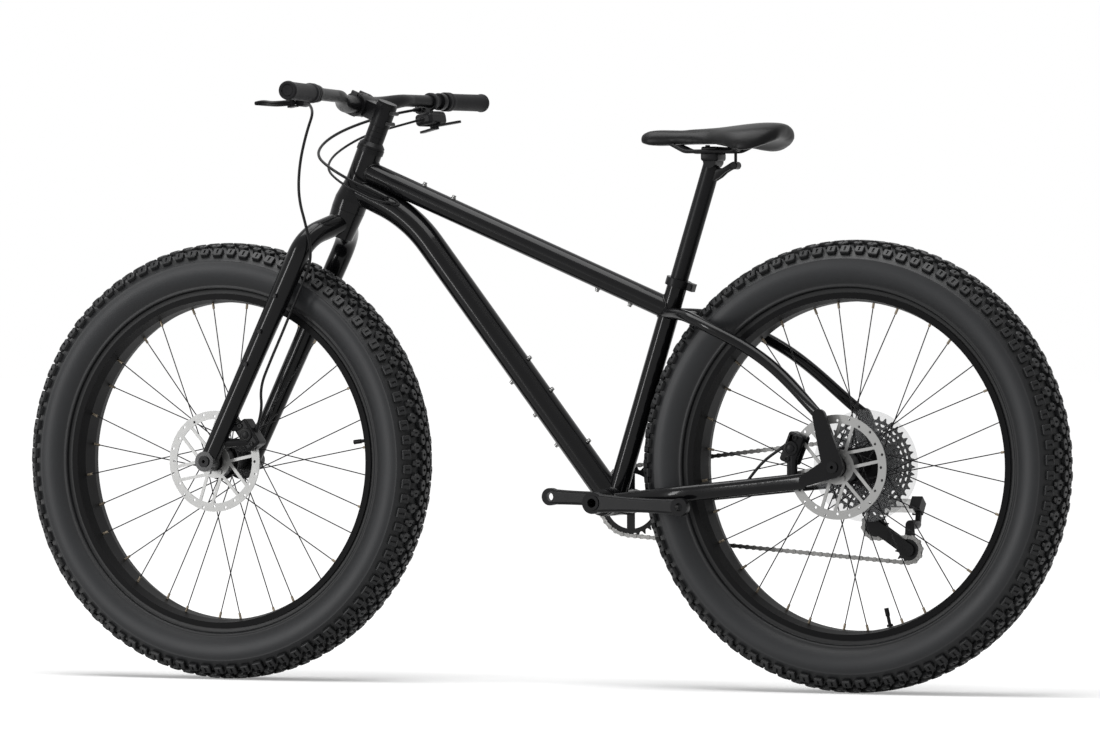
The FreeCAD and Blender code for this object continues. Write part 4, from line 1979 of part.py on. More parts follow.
def saddle_wires(lowered):
    """Cover sections from tail to nose, or with a depth given the sections of the shell under it."""
    wires = []
    length = SADDLE_TAIL + SADDLE_NOSE
    for along, width, height, skirt, arch in SADDLE_SHARES:
        x = length * along - SADDLE_TAIL
        half = SADDLE_HALF_WIDTH * width
        top = SADDLE_HEIGHT * height
        low = top - SADDLE_PAD * skirt
        arch_top = low + SADDLE_HEIGHT * arch
        if lowered:
            half = half * SADDLE_SHELL_SHARE
            lift = (arch_top - low) * (1 - SADDLE_SHELL_SHARE**2)
            corners = [V(x, -half, low + lift), V(x, half, low + lift)]
            down = Z_AXIS * lowered
            edges = [
                Part.Arc(corners[0], V(x, 0, arch_top), corners[1]).toShape(),
                Part.makeLine(corners[1], corners[1] - down),
                Part.Arc(corners[1] - down, V(x, 0, arch_top) - down, corners[0] - down).toShape(),
                Part.makeLine(corners[0] - down, corners[0]),
            ]
        else:
            shoulder_side = half * SADDLE_SHOULDER_SHARE
            shoulder_top = top - SADDLE_PAD * skirt * SADDLE_CROWN_SHARE * SADDLE_SHOULDER_SHARE
            bulge_side = half * (1 + SADDLE_SHOULDER_SHARE) / 2 * SADDLE_BULGE_SHARE
            bulge_top = (low + shoulder_top) / 2 + (shoulder_top - low) * SADDLE_BULGE_LIFT_SHARE
            right_bulge = V(x, -bulge_side, bulge_top)
            left_bulge = V(x, bulge_side, bulge_top)
            corners = [
                V(x, -half, low),
                V(x, -shoulder_side, shoulder_top),
                V(x, shoulder_side, shoulder_top),
                V(x, half, low),
            ]
            edges = [
                Part.Arc(corners[0], right_bulge, corners[1]).toShape(),
                Part.Arc(corners[1], V(x, 0, top), corners[2]).toShape(),
                Part.Arc(corners[2], left_bulge, corners[3]).toShape(),
                Part.Arc(corners[3], V(x, 0, arch_top), corners[0]).toShape(),
            ]
        wires.append(Part.Wire(edges))
    return wires


saddle_cover = one_solid(Part.makeLoft(saddle_wires(0), True, False))
saddle_base = one_solid(Part.makeLoft(saddle_wires(SADDLE_SHELL), True, False))
saddle_rail = cut(rail_core, saddle_cover, saddle_base)
nodes["saddle_cover"] = [saddle_cover.translated(post_head)]
nodes["saddle_shell"] = [cut(saddle_base, saddle_cover).translated(post_head)]
nodes["saddle_rails"] = both_sides(saddle_rail.translated(post_head))

# Hoses and cable housing


def cord(points, radius):
    """Round cord through its route, each corner rounded as widely as its shorter run allows."""
    radii = []
    for before, corner, after in zip(points, points[1:], points[2:]):
        inward = before - corner
        outward = after - corner
        half_turn = (math.pi - inward.getAngle(outward)) / 2
        radii.append(CORD_REACH_SHARE * min(inward.Length, outward.Length) / math.tan(half_turn))
    return bent_rod(points, radii, radius)


def down_tube_port(x):
    """Place on the left side of the down tube's upper run where a cord goes in."""
    share = (x - down_tube_head.x) / (down_tube_corner.x - down_tube_head.x)
    axis = between(down_tube_head, down_tube_corner, share)
    lift = DOWN_TUBE_RADIUS * PORT_LIFT_SHARE
    return axis + V(0, math.sqrt(DOWN_TUBE_RADIUS**2 - lift**2), lift)


hose_exit = on_bar(BRAKE_BODY_INNER, BRAKE_BODY_REACH, -BRAKE_BODY_DROP)
right_hose_exit = V(hose_exit.x, -hose_exit.y, hose_exit.z)
housing_exit = on_bar(SHIFTER_CLAMP_INSET + SHIFTER_LENGTH / 2, SHIFTER_FORWARD, -SHIFTER_DROP)
housing_exit = V(housing_exit.x, -housing_exit.y, housing_exit.z)
front_hose_end = polar(front_caliper_centre, CALIPER_DEPTH / 2, FRONT_CALIPER_ANGLE)
rear_hose_end = polar(rear_caliper_centre, CALIPER_DEPTH / 2, REAR_CALIPER_ANGLE)
housing_end = V(knuckle_web.x + WEB_THICKNESS / 2, knuckle_inner - KNUCKLE_WIDTH / 2, knuckle_web.z)


def route(points):
    return [V(*point) for point in points]


front_hose = cord([hose_exit] + route(FRONT_HOSE_ROUTE) + [front_hose_end], HOSE_RADIUS)
nodes["front_brake_hose"] = [cut(front_hose, brake_body, nodes["front_caliper"][0])]
rear_hose = cord([right_hose_exit] + route(REAR_HOSE_ROUTE) + [down_tube_port(FRONT_PORT_X)], HOSE_RADIUS)
rear_hose_tail = cord(route(REAR_HOSE_TAIL_ROUTE) + [rear_hose_end], HOSE_RADIUS)
nodes["rear_brake_hose"] = [
    cut(rear_hose, down_core, mirrored(brake_body)),
    cut(rear_hose_tail, chainstay_core, nodes["rear_caliper"][0]),
]
housing = cord([housing_exit] + route(HOUSING_ROUTE) + [down_tube_port(HOUSING_PORT_X)], HOUSING_RADIUS)
housing_tail = cord(route(HOUSING_TAIL_ROUTE) + [housing_end], HOUSING_RADIUS)
nodes["shift_housing"] = [
    cut(housing, down_core, nodes["shifter_body"][0]),
    cut(housing_tail, mirrored(chainstay_core), nodes["derailleur_knuckle"][0]),
]

os.makedirs("parts", exist_ok=True)
for name, solids in nodes.items():
    shape = solids[0] if len(solids) == 1 else Part.makeCompound(solids)
    shape.exportStep("parts/" + name + ".step")
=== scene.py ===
"""Fat tyre bicycle: tyres, grips, saddle, hoses, small fittings and finishes on its fixed frame."""
import math

import bmesh
import bpy
from bpy.props import (
    FloatProperty,
    FloatVectorProperty,
    IntProperty,
    PointerProperty,
)
from mathutils import Matrix, Vector
from mathutils.bvhtree import BVHTree


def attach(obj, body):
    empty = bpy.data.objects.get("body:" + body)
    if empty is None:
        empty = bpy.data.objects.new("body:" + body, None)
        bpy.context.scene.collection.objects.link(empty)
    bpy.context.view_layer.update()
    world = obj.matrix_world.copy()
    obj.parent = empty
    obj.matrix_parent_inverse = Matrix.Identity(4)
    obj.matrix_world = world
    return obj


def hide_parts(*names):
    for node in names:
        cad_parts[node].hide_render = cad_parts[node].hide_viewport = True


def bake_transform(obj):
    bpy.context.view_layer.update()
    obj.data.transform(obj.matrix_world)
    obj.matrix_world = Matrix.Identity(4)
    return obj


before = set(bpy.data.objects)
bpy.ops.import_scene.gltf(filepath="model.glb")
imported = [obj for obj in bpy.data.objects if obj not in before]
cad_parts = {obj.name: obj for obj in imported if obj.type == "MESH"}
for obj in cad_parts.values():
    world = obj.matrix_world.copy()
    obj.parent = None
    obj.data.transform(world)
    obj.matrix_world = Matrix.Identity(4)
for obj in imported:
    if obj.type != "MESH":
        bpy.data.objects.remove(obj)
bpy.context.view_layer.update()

bl_info = {
    "name": "Fat Tyre Bicycle",
    "version": (1, 0, 0),
    "blender": (4, 5, 0),
    "location": "View3D > Sidebar > Bicycle",
    "description": "Dresses the bicycle's frame with tyres, grips, saddle, hoses and finishes",
    "category": "Object",
}

FRONT_AXLE = Vector((0.604, 0.0, 0.390))
REAR_AXLE = Vector((-0.604, 0.0, 0.390))
CROSSWAYS = Vector((0.0, 1.0, 0.0))
UPRIGHT = Vector((0.0, 0.0, 1.0))
FULL_TURN = 2 * math.pi
NEARLY_ALONG = 0.8
MERGE_DISTANCE = 0.00002

BAR_TIP = Vector((0.290954, 0.397022, 1.037228))
BAR_AHEAD = Vector((-0.1219, 0.9925, 0.0087)).normalized()

FRONT_HOSE_ROUTE = (
    (0.338954, 0.227737, 1.021851), (0.352, 0.166, 1.015), (0.388, 0.128, 0.972),
    (0.412, 0.108, 0.916), (0.412, 0.112, 0.858), (0.396, 0.112, 0.806),
    (0.392, 0.098, 0.756), (0.409, 0.088, 0.720), (0.431, 0.084, 0.678),
    (0.457, 0.082, 0.622), (0.483, 0.080, 0.570), (0.507, 0.074, 0.522),
    (0.505, 0.068, 0.478), (0.521096, 0.061, 0.445919),
)
REAR_HOSE_ROUTE = (
    (0.338954, -0.227737, 1.021851), (0.354, -0.168, 1.014), (0.392, -0.118, 0.998),
    (0.420, -0.064, 0.977), (0.426, -0.008, 0.954), (0.412, 0.038, 0.932),
    (0.376, 0.058, 0.910), (0.336, 0.056, 0.888), (0.304, 0.044, 0.872),
    (0.2810, 0.0192, 0.85556),
)
REAR_HOSE_TAIL_ROUTE = (
    (-0.432, 0.0845, 0.358), (-0.452, 0.085, 0.384), (-0.480, 0.085, 0.410),
    (-0.511282, 0.0845, 0.427461),
)
HOUSING_ROUTE = (
    (0.315186, -0.194756, 1.003079), (0.352, -0.150, 0.988), (0.384, -0.108, 0.974),
    (0.404, -0.060, 0.952), (0.408, -0.010, 0.930), (0.394, 0.034, 0.908),
    (0.360, 0.054, 0.886), (0.322, 0.052, 0.866), (0.290, 0.042, 0.850),
    (0.2660, 0.0192, 0.84856),
)
HOUSING_TAIL_ROUTE = (
    (-0.530, -0.100, 0.362), (-0.556, -0.116, 0.352), (-0.578, -0.118, 0.338),
    (-0.5972, -0.1155, 0.320),
)

# Carcass from the crown to the bead and back inside: radius from the axle and half width
CARCASS_PROFILE = (
    (0.3835, 0.0), (0.3830, 0.010), (0.3810, 0.020), (0.3775, 0.030), (0.3733, 0.038),
    (0.3686, 0.0442), (0.3635, 0.0486), (0.3590, 0.0514), (0.3577, 0.0526), (0.3565, 0.0530),
    (0.3553, 0.0526), (0.3500, 0.0539), (0.3445, 0.0546), (0.3370, 0.0542), (0.3290, 0.0522),
    (0.3220, 0.0490), (0.3165, 0.0454), (0.3140, 0.0440), (0.3124, 0.0444), (0.3106, 0.0448),
    (0.3089, 0.0440), (0.3077, 0.0420), (0.3073, 0.0390), (0.3064, 0.0372), (0.3000, 0.0366),
    (0.2932, 0.0366), (0.2928, 0.0345), (0.3080, 0.0375), (0.3200, 0.0440), (0.3440, 0.0510),
    (0.3600, 0.0465), (0.3720, 0.0325), (0.3785, 0.0150), (0.3795, 0.0),
)

# Tread rows within a pitch: half width, lean in degrees, radius of the knob's top, length, width,
# cut corner, and the places of its knobs as shares of the pitch
TREAD_ROWS = (
    (0.0085, 2.0, 0.3897, 0.0195, 0.0145, 0.0046, (0.00, 0.50)),
    (0.0285, 12.0, 0.3858, 0.0175, 0.0155, 0.0042, (0.23,)),
    (0.0270, 11.0, 0.3860, 0.0135, 0.0130, 0.0026, (0.73,)),
    (0.0480, 48.0, 0.3745, 0.0180, 0.0160, 0.0016, (0.02,)),
    (0.0472, 46.0, 0.3752, 0.0160, 0.0145, 0.0016, (0.52,)),
)

# Grip from the bar's end inwards: distance and radius
GRIP_PROFILE = (
    (0.0000, 0.0), (0.0000, 0.0110), (-0.0004, 0.0128), (-0.0002, 0.0150), (0.0016, 0.0164),
    (0.0050, 0.0168), (0.0090, 0.0160), (0.0140, 0.0155), (0.0500, 0.0153), (0.0900, 0.0153),
    (0.1080, 0.0154), (0.1120, 0.0156), (0.1136, 0.0171), (0.1146, 0.0174), (0.1220, 0.0174),
    (0.1226, 0.0168), (0.1240, 0.0168), (0.1246, 0.0174), (0.1306, 0.0174), (0.1320, 0.0164),
    (0.1320, 0.0112),
)

FRAME_PAINTED = (
    "head_tube", "bottom_bracket_shell", "seat_tube", "top_tube", "down_tube", "dropouts",
    "chainstays", "seatstays", "fork_crown", "fork_legs",
)
SATIN_METAL = (
    "seat_collar", "stem_body", "stem_faceplate", "handlebar", "headset_spacers", "seatpost",
    "saddle_clamp", "bearing_cups", "front_hub", "rear_hub", "front_caliper",
    "rear_caliper", "brake_lever_bodies", "left_brake_lever", "right_brake_lever",
    "derailleur_knuckle", "derailleur_p_knuckle", "derailleur_cage", "crank_arms",
    "chainring", "saddle_rails", "front_thru_axle", "rear_thru_axle", "front_valve", "rear_valve",
    "steering_bolts",
)
BRIGHT_METAL = ("frame_bolts",)
# Fittings whose edges are rounded, with the width of the rounding
ROUNDED = (
    ("seat_collar", 0.0016), ("front_caliper", 0.0026), ("rear_caliper", 0.0026),
    ("stem_body", 0.0020), ("stem_faceplate", 0.0016), ("shifter_body", 0.0020),
    ("crank_arms", 0.0016), ("derailleur_knuckle", 0.0020), ("derailleur_p_knuckle", 0.0020),
    ("derailleur_cage", 0.0008), ("brake_lever_bodies", 0.0014), ("dropouts", 0.0016),
    ("left_brake_lever", 0.0010), ("right_brake_lever", 0.0010), ("shift_thumb_lever", 0.0008),
    ("shift_release_lever", 0.0008),
)
MOULDED_PLASTIC = (
    "shifter_body", "shift_thumb_lever", "shift_release_lever", "guide_pulley",
    "tension_pulley", "saddle_shell",
)


def length_of(label, meaning, size):
    """Length that the sidebar shows."""
    return FloatProperty(name=label, description=meaning, default=size, unit="LENGTH")


def number_of(label, meaning, value):
    """Plain number that the sidebar shows."""
    return FloatProperty(name=label, description=meaning, default=value)


def colour_of(label, meaning, shown):
    """Colour that the sidebar shows."""
    return FloatVectorProperty(
        name=label, description=meaning, default=shown, subtype="COLOR", min=0.0, max=1.0
    )


class TyreSizes(bpy.types.PropertyGroup):
    """Sizes of both tyres' tread."""

    pitches: IntProperty(
        name="Tread pitches", description="Pairs of knobs round a tyre", default=45, min=20
    )
    knob_height: length_of("Knob height", "Height of a knob from its foot in the carcass", 0.0072)
    knob_chamfer: length_of("Knob edge", "Width of a knob's sloping edge", 0.0012)
    slit_margin: number_of("Slit margin", "Share of a knob's narrower side beside its slit", 0.14)
    slit_share: FloatProperty(
        name="Slit", description="Share of a knob's length that its slit takes",
        default=0.32, min=0.1, max=0.9,
    )
    slit_depth: length_of("Slit depth", "Depth of the slit in a knob", 0.0022)
    steps: IntProperty(
        name="Carcass steps", description="Segments round a carcass", default=120, min=24
    )


class WeldSizes(bpy.types.PropertyGroup):
    """Sizes of the weld beads."""

    bead_radius: length_of("Bead radius", "Radius of a weld bead", 0.0024)
    ripple: length_of("Ripple", "Length of one ripple of the bead", 0.0026)


class HoseSizes(bpy.types.PropertyGroup):
    """Sizes of the hoses and the shift housing."""

    hose: length_of("Hose", "Outer diameter of a brake hose", 0.0052)
    housing: length_of("Housing", "Outer diameter of the shift housing", 0.0044)


class FinishColours(bpy.types.PropertyGroup):
    """Colours of the finishes."""

    paint: colour_of("Paint", "Gloss paint of the frame and fork", (0.0022, 0.0022, 0.0025))
    satin: colour_of("Satin black", "Satin black of the fittings", (0.0042, 0.0042, 0.0046))
    rubber: colour_of("Rubber", "Rubber of the tyres", (0.0080, 0.0085, 0.0095))
    grip: colour_of("Grip", "Rubber of the grips", (0.0062, 0.0062, 0.0068))
    skin: colour_of("Saddle", "Skin of the saddle", (0.0026, 0.0026, 0.0028))
    steel: colour_of("Steel", "Bright steel of rotors and bolts", (0.62, 0.62, 0.61))
    nipple: colour_of("Nipple", "Nipples at the rim", (0.24, 0.20, 0.15))


class StageLook(bpy.types.PropertyGroup):
    """Light, floor and camera."""

    floor_size: length_of("Floor", "Width of the floor", 120.0)
    fill: number_of("Fill", "Strength of the surrounding light", 0.30)
    top_power: number_of("Top light", "Power of the wide light above, in watts", 170.0)
    side_power: number_of(
        "Side light", "Power of the tall light left of the camera, in watts", 150.0
    )
    lens: number_of("Lens", "Focal length of the camera, in millimetres", 233.36)


class BicycleLook(bpy.types.PropertyGroup):
    """All sizes and colours of the dressed bicycle."""

    tyre: PointerProperty(type=TyreSizes)
    weld: PointerProperty(type=WeldSizes)
    hoses: PointerProperty(type=HoseSizes)
    colours: PointerProperty(type=FinishColours)
    stage: PointerProperty(type=StageLook)


# Nodes and node groups


def set_inputs(node, **values):
    """Plain values of a node's inputs; an underscore stands for a space."""
    for label, value in values.items():
        node.inputs[label.replace("_", " ")].default_value = value


def new_group(name, inputs, outputs):
    """Shader node group of numbers: names and defaults of its inputs, names of its outputs."""
    group = bpy.data.node_groups.new(name, "ShaderNodeTree")
    for label, default in inputs:
        socket = group.interface.new_socket(
            name=label, in_out="INPUT", socket_type="NodeSocketFloat"
        )
        socket.default_value = default
    for label in outputs:
        group.interface.new_socket(name=label, in_out="OUTPUT", socket_type="NodeSocketFloat")
    entry = group.nodes.new("NodeGroupInput")
    leaving = group.nodes.new("NodeGroupOutput")
    return group, entry.outputs, leaving.inputs


def math_node(tree, operation, *values):
    """Math node fed by sockets or numbers; gives its output."""
    node = tree.nodes.new("ShaderNodeMath")
    node.operation = operation
    for socket, value in zip(node.inputs, values):
        if isinstance(value, (int, float)):
            socket.default_value = value
        else:
            tree.links.new(value, socket)
    return node.outputs[0]


def spread(tree, value, low, high, start=0.0, end=1.0):
    """A value from start to end, spread between two numbers."""
    node = tree.nodes.new("ShaderNodeMapRange")
    set_inputs(node, From_Min=start, From_Max=end, To_Min=low, To_Max=high)
    tree.links.new(value, node.inputs["Value"])
    return node.outputs["Result"]


def grain_group(name):
    """Cloudy and fine grain over a surface."""
    group, entry, leaving = new_group(
        name, (("Scale", 40.0), ("Fine scale", 900.0)), ("Cloud", "Grain")
    )
    place = group.nodes.new("ShaderNodeTexCoord")
    for scale, output, detail in (("Scale", "Cloud", 5.0), ("Fine scale", "Grain", 2.0)):
        noise = group.nodes.new("ShaderNodeTexNoise")
        set_inputs(noise, Detail=detail, Roughness=0.6)
        group.links.new(place.outputs["Object"], noise.inputs["Vector"])
        group.links.new(entry[scale], noise.inputs["Scale"])
        group.links.new(noise.outputs["Fac"], leaving[output])
    return group


def wheel_group(name):
    """Distance from the nearer axle, and a band that fades in between two distances."""
    group, entry, leaving = new_group(name, (("Inner", 0.27), ("Outer", 0.28)), ("Radius", "Band"))
    place = group.nodes.new("ShaderNodeTexCoord")
    split = group.nodes.new("ShaderNodeSeparateXYZ")
    group.links.new(place.outputs["Object"], split.inputs[0])
    beside = math_node(group, "ABSOLUTE", split.outputs["X"])
    ahead = math_node(group, "SUBTRACT", beside, FRONT_AXLE.x)
    above = math_node(group, "SUBTRACT", split.outputs["Z"], FRONT_AXLE.z)
    squares = [
        math_node(group, "POWER", math_node(group, "ABSOLUTE", reach), 2.0)
        for reach in (ahead, above)
    ]
    radius = math_node(group, "SQRT", math_node(group, "ADD", *squares))
    span = group.nodes.new("ShaderNodeMapRange")
    span.interpolation_type = "SMOOTHSTEP"
    group.links.new(radius, span.inputs["Value"])
    group.links.new(entry["Inner"], span.inputs["From Min"])
    group.links.new(entry["Outer"], span.inputs["From Max"])
    group.links.new(radius, leaving["Radius"])
    group.links.new(span.outputs["Result"], leaving["Band"])
    return group


# Materials


def shade(colour, factor):
    """A lighter or darker colour of the same hue."""
    return tuple(min(channel * factor, 1.0) for channel in colour)


class Finish:
    """A material being built: its tree, its shader and its grain."""

    def __init__(self, name, scale, fine_scale):
        self.material = bpy.data.materials.new(name)
        self.material.use_nodes = True
        self.tree = self.material.node_tree
        self.shader = self.tree.nodes["Principled BSDF"]
        grain = self.group("Surface grain", grain_group, Scale=scale, Fine_scale=fine_scale)
        self.cloud, self.fine = grain["Cloud"], grain["Grain"]

    def group(self, name, maker, **values):
        """A shared node group, built the first time, with this material's own values."""
        node = self.tree.nodes.new("ShaderNodeGroup")
        node.node_tree = bpy.data.node_groups.get(name) or maker(name)
        set_inputs(node, **values)
        return node.outputs

    def mix(self, mask, first, second):
        """Colour between two colours by a mask."""
        node = self.tree.nodes.new("ShaderNodeMix")
        node.data_type = "RGBA"
        self.tree.links.new(mask, node.inputs["Factor"])
        for socket, value in zip(node.inputs[6:8], (first, second)):
            if isinstance(value, bpy.types.NodeSocket):
                self.tree.links.new(value, socket)
            else:
                socket.default_value = (*value, 1.0)
        return node.outputs[2]

    def colour(self, mask, first, second):
        self.tree.links.new(self.mix(mask, first, second), self.shader.inputs["Base Color"])

    def rough(self, mask, low, high):
        self.tree.links.new(spread(self.tree, mask, low, high), self.shader.inputs["Roughness"])

    def bump(self, height, distance, strength):
        node = self.tree.nodes.new("ShaderNodeBump")
        set_inputs(node, Distance=distance, Strength=strength)
        self.tree.links.new(height, node.inputs["Height"])
        self.tree.links.new(node.outputs["Normal"], self.shader.inputs["Normal"])

    def wheel(self, inner, outer):
        """Radius from the axle, and the band between two radii."""
        wheel = self.group("Round the axle", wheel_group, Inner=inner, Outer=outer)
        return wheel["Radius"], wheel["Band"]

    def rings(self, radius, frequency):
        """Fine circles round the axle."""
        return math_node(self.tree, "SINE", math_node(self.tree, "MULTIPLY", radius, frequency))


# Plain finishes: scales of cloud and grain, both ends of the cloud's colour (three channels, or a
# colour's name and a factor), what the roughness follows and its ends, the grain's bump, and the
# shader's other values
PLAIN_FINISHES = {
    # Clear coat with a faint orange peel
    "Gloss paint": (
        (30.0, 260.0), ("paint", 1.0), ("paint", 1.8), ("cloud", 0.20, 0.30), (0.00002, 0.10),
        dict(Specular_IOR_Level=0.05, Coat_Weight=0.34, Coat_Roughness=0.08, Coat_IOR=1.36),
    ),
    # Fine-blasted, anodised alloy
    "Satin black": (
        (45.0, 2600.0), ("satin", 1.0), ("satin", 1.7), ("cloud", 0.31, 0.39), (0.00003, 0.20),
        dict(Specular_IOR_Level=0.10),
    ),
    # Plated bolts, dulled in patches
    "Bright steel": (
        (160.0, 2200.0), ("steel", 0.08), ("steel", 0.35), ("fine", 0.18, 0.30), None,
        dict(Metallic=1.0),
    ),
    # Nickel-grey with oil-dark patches
    "Chain steel": (
        (380.0, 2600.0), (0.03, 0.03, 0.03), (0.26, 0.257, 0.25), ("fine", 0.26, 0.46), None,
        dict(Metallic=0.9),
    ),
    "Polished alloy": (
        (140.0, 2400.0), ("steel", 0.78), ("steel", 1.1), ("fine", 0.22, 0.36), None,
        dict(Metallic=0.95),
    ),
    # Matt, with a fine stipple
    "Grip rubber": (
        (60.0, 1400.0), ("grip", 1.0), ("grip", 1.5), ("cloud", 0.50, 0.60), (0.0003, 0.35),
        dict(Specular_IOR_Level=0.10),
    ),
    "Hose sleeve": (
        (70.0, 2200.0), ("satin", 0.7), ("satin", 1.3), ("cloud", 0.26, 0.38), (0.00005, 0.2),
        dict(Specular_IOR_Level=0.15),
    ),
    "Moulded plastic": (
        (80.0, 1800.0), ("satin", 1.0), ("satin", 1.8), ("cloud", 0.36, 0.50), (0.0001, 0.3),
        dict(Specular_IOR_Level=0.12),
    ),
    # Smoky spoke guard
    "Clear plastic": (
        (60.0, 900.0), (0.20, 0.205, 0.21), (0.30, 0.305, 0.31), ("cloud", 0.14, 0.26), None,
        dict(Alpha=0.18, Specular_IOR_Level=0.4),
    ),
}


def tone(colours, end):
    """One end of a plain finish's colour."""
    return shade(getattr(colours, end[0]), end[1]) if isinstance(end[0], str) else end


def plain_finish(name, colours):
    """Finish from its row: a cloudy colour, uneven roughness and a fine grain."""
    scales, dark, pale, (mask, low, high), bump, values = PLAIN_FINISHES[name]
    finish = Finish(name, *scales)
    finish.colour(finish.cloud, tone(colours, dark), tone(colours, pale))
    finish.rough(getattr(finish, mask), low, high)
    set_inputs(finish.shader, **values)
    if bump:
        finish.bump(finish.fine, *bump)
    return finish.material


def rim_black(name, colours):
    """Satin black rim with a paler band at its outer edge."""
    finish = Finish(name, 30.0, 1800.0)
    radius, edge = finish.wheel(0.2985, 0.3002)
    black = finish.mix(finish.cloud, shade(colours.satin, 0.5), shade(colours.satin, 0.9))
    finish.colour(edge, black, (0.040, 0.041, 0.043))
    finish.rough(finish.cloud, 0.46, 0.56)
    set_inputs(finish.shader, Specular_IOR_Level=0.06)
    finish.bump(finish.rings(radius, 9000.0), 0.00003, 0.12)
    return finish.material


def rotor_steel(name, colours):
    """Ground stainless rotor with a circular grain and an even swept track."""
    finish = Finish(name, 60.0, 1500.0)
    radius, track = finish.wheel(0.0640, 0.0670)
    bright = finish.mix(finish.cloud, shade(colours.steel, 0.30), shade(colours.steel, 0.42))
    finish.colour(track, bright, shade(colours.steel, 0.34))
    finish.rough(finish.cloud, 0.40, 0.48)
    set_inputs(finish.shader, Metallic=0.85)
    finish.bump(finish.rings(radius, 14000.0), 0.00001, 0.05)
    return finish.material


def spoke_steel(name, colours):
    """Dark drawn spokes with bright nipples at the rim."""
    finish = Finish(name, 120.0, 2000.0)
    rim = finish.wheel(0.2725, 0.2735)[1]
    wire = finish.mix(finish.cloud, (0.004, 0.004, 0.0045), (0.012, 0.012, 0.013))
    finish.colour(rim, wire, colours.nipple)
    finish.rough(finish.fine, 0.28, 0.40)
    set_inputs(finish.shader, Metallic=0.5, Specular_IOR_Level=0.15)
    return finish.material


def sprocket_steel(name, colours):
    """Dark coated sprockets with brighter worn patches."""
    finish = Finish(name, 420.0, 2600.0)
    worn = spread(finish.tree, finish.cloud, 0.0, 1.0, start=0.56, end=0.68)
    finish.colour(worn, (0.005, 0.005, 0.006), (0.07, 0.07, 0.073))
    finish.rough(finish.fine, 0.28, 0.45)
    set_inputs(finish.shader, Metallic=0.8)
    return finish.material


def tyre_rubber(name, colours):
    """Charcoal rubber with painted shade, palest on the sidewall's belly, with fine moulded rings.
    """
    finish = Finish(name, 22.0, 1500.0)
    # The shoulder band gives the tread its painted shade and fades the moulded rings out.
    radius, shoulder = finish.wheel(0.345, 0.366)
    # Painted shade: the sidewall darkens towards the rim, below this band.
    rim_shade_band = finish.wheel(0.302, 0.336)[1]
    belly = finish.mix(finish.cloud, shade(colours.rubber, 1.0), shade(colours.rubber, 1.7))
    shaded_sidewall = finish.mix(rim_shade_band, shade(colours.rubber, 0.35), belly)
    # Painted shade: the tread past the shoulder is half the rubber's colour.
    finish.colour(shoulder, shaded_sidewall, shade(colours.rubber, 0.50))
    finish.rough(finish.cloud, 0.42, 0.52)
    set_inputs(finish.shader, Specular_IOR_Level=0.26)
    depth = spread(finish.tree, shoulder, 0.35, 0.0)
    ribs = math_node(finish.tree, "MULTIPLY", finish.rings(radius, 4200.0), depth)
    finish.bump(math_node(finish.tree, "ADD", ribs, finish.fine), 0.00012, 0.30)
    return finish.material


def saddle_skin(name, colours):
    """Saddle skin with a cellular grain."""
    finish = Finish(name, 40.0, 1500.0)
    finish.colour(finish.cloud, colours.skin, shade(colours.skin, 1.6))
    finish.rough(finish.cloud, 0.34, 0.42)
    set_inputs(finish.shader, Specular_IOR_Level=0.11)
    cells = finish.tree.nodes.new("ShaderNodeTexVoronoi")
    set_inputs(cells, Scale=900.0)
    place = finish.tree.nodes.new("ShaderNodeTexCoord")
    finish.tree.links.new(place.outputs["Object"], cells.inputs["Vector"])
    finish.bump(cells.outputs["Distance"], 0.0001, 0.15)
    return finish.material


PATTERNED_FINISHES = {
    "Rim black": rim_black, "Rotor steel": rotor_steel, "Spoke steel": spoke_steel,
    "Sprocket steel": sprocket_steel, "Tyre rubber": tyre_rubber, "Saddle skin": saddle_skin,
}


def finish_of(name):
    """The material of that name, built the first time."""
    maker = PATTERNED_FINISHES.get(name, plain_finish)
    return bpy.data.materials.get(name) or maker(name, bpy.context.scene.bicycle.colours)


# Pieces


def link_object(name, data):
    """New object in the scene, at the origin."""
    made = bpy.data.objects.new(name, data)
    bpy.context.scene.collection.objects.link(made)
    return made


def mesh_from(name, bm):
    """Mesh of a bmesh, which is freed."""
    mesh = bpy.data.meshes.new(name)
    bm.to_mesh(mesh)
    bm.free()
    return mesh


def curve_through(name, kind, places, radius, resolution):
    """Round curve and its spline over a row of points."""
    curve = bpy.data.curves.new(name, "CURVE")
    curve.dimensions = "3D"
    curve.bevel_depth = radius
    curve.bevel_resolution = resolution
    spline = curve.splines.new(kind)
    spline.points.add(len(places) - 1)
    for point, place in zip(spline.points, places):
        point.co = (*place, 1.0)
    return curve, spline


def smooth_faces(mesh):
    """Smooth shading on every face."""
    mesh.polygons.foreach_set("use_smooth", [True] * len(mesh.polygons))


def new_piece(name, bm, material, body, slot, *nodes, sharp_degrees=40.0):
    """Object from a bmesh, in place, riding on its body."""
    bmesh.ops.remove_doubles(bm, verts=bm.verts, dist=MERGE_DISTANCE)
    bmesh.ops.recalc_face_normals(bm, faces=bm.faces)
    mesh = mesh_from(name, bm)
    smooth_faces(mesh)
    mesh.set_sharp_from_angle(angle=math.radians(sharp_degrees))
    return settle(name, mesh, material, body, slot, *nodes)


def settle(name, data, material, body, slot, *nodes):
    """Links an object, gives it its material, and lets it ride on its body."""
    data.materials.append(material)
    piece = link_object(name, data)
    if body:
        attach(piece, body)
    if nodes:
        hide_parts(*nodes)
    return piece


def across(axis):
    """A direction square to an axis."""
    other = UPRIGHT if abs(axis.dot(UPRIGHT)) < NEARLY_ALONG else CROSSWAYS
    return axis.cross(other).normalized()


def turn_profile(bm, profile, origin, axis, steps):
    """Spins a profile of distances along an axis and radii from it."""
    side = across(axis)
    points = [bm.verts.new(origin + axis * along + side * radius) for along, radius in profile]
    edges = [bm.edges.new(pair) for pair in zip(points, points[1:])]
    bmesh.ops.spin(
        bm, geom=points + edges, cent=origin, axis=axis, dvec=(0, 0, 0),
        angle=FULL_TURN, steps=steps, use_merge=True,
    )


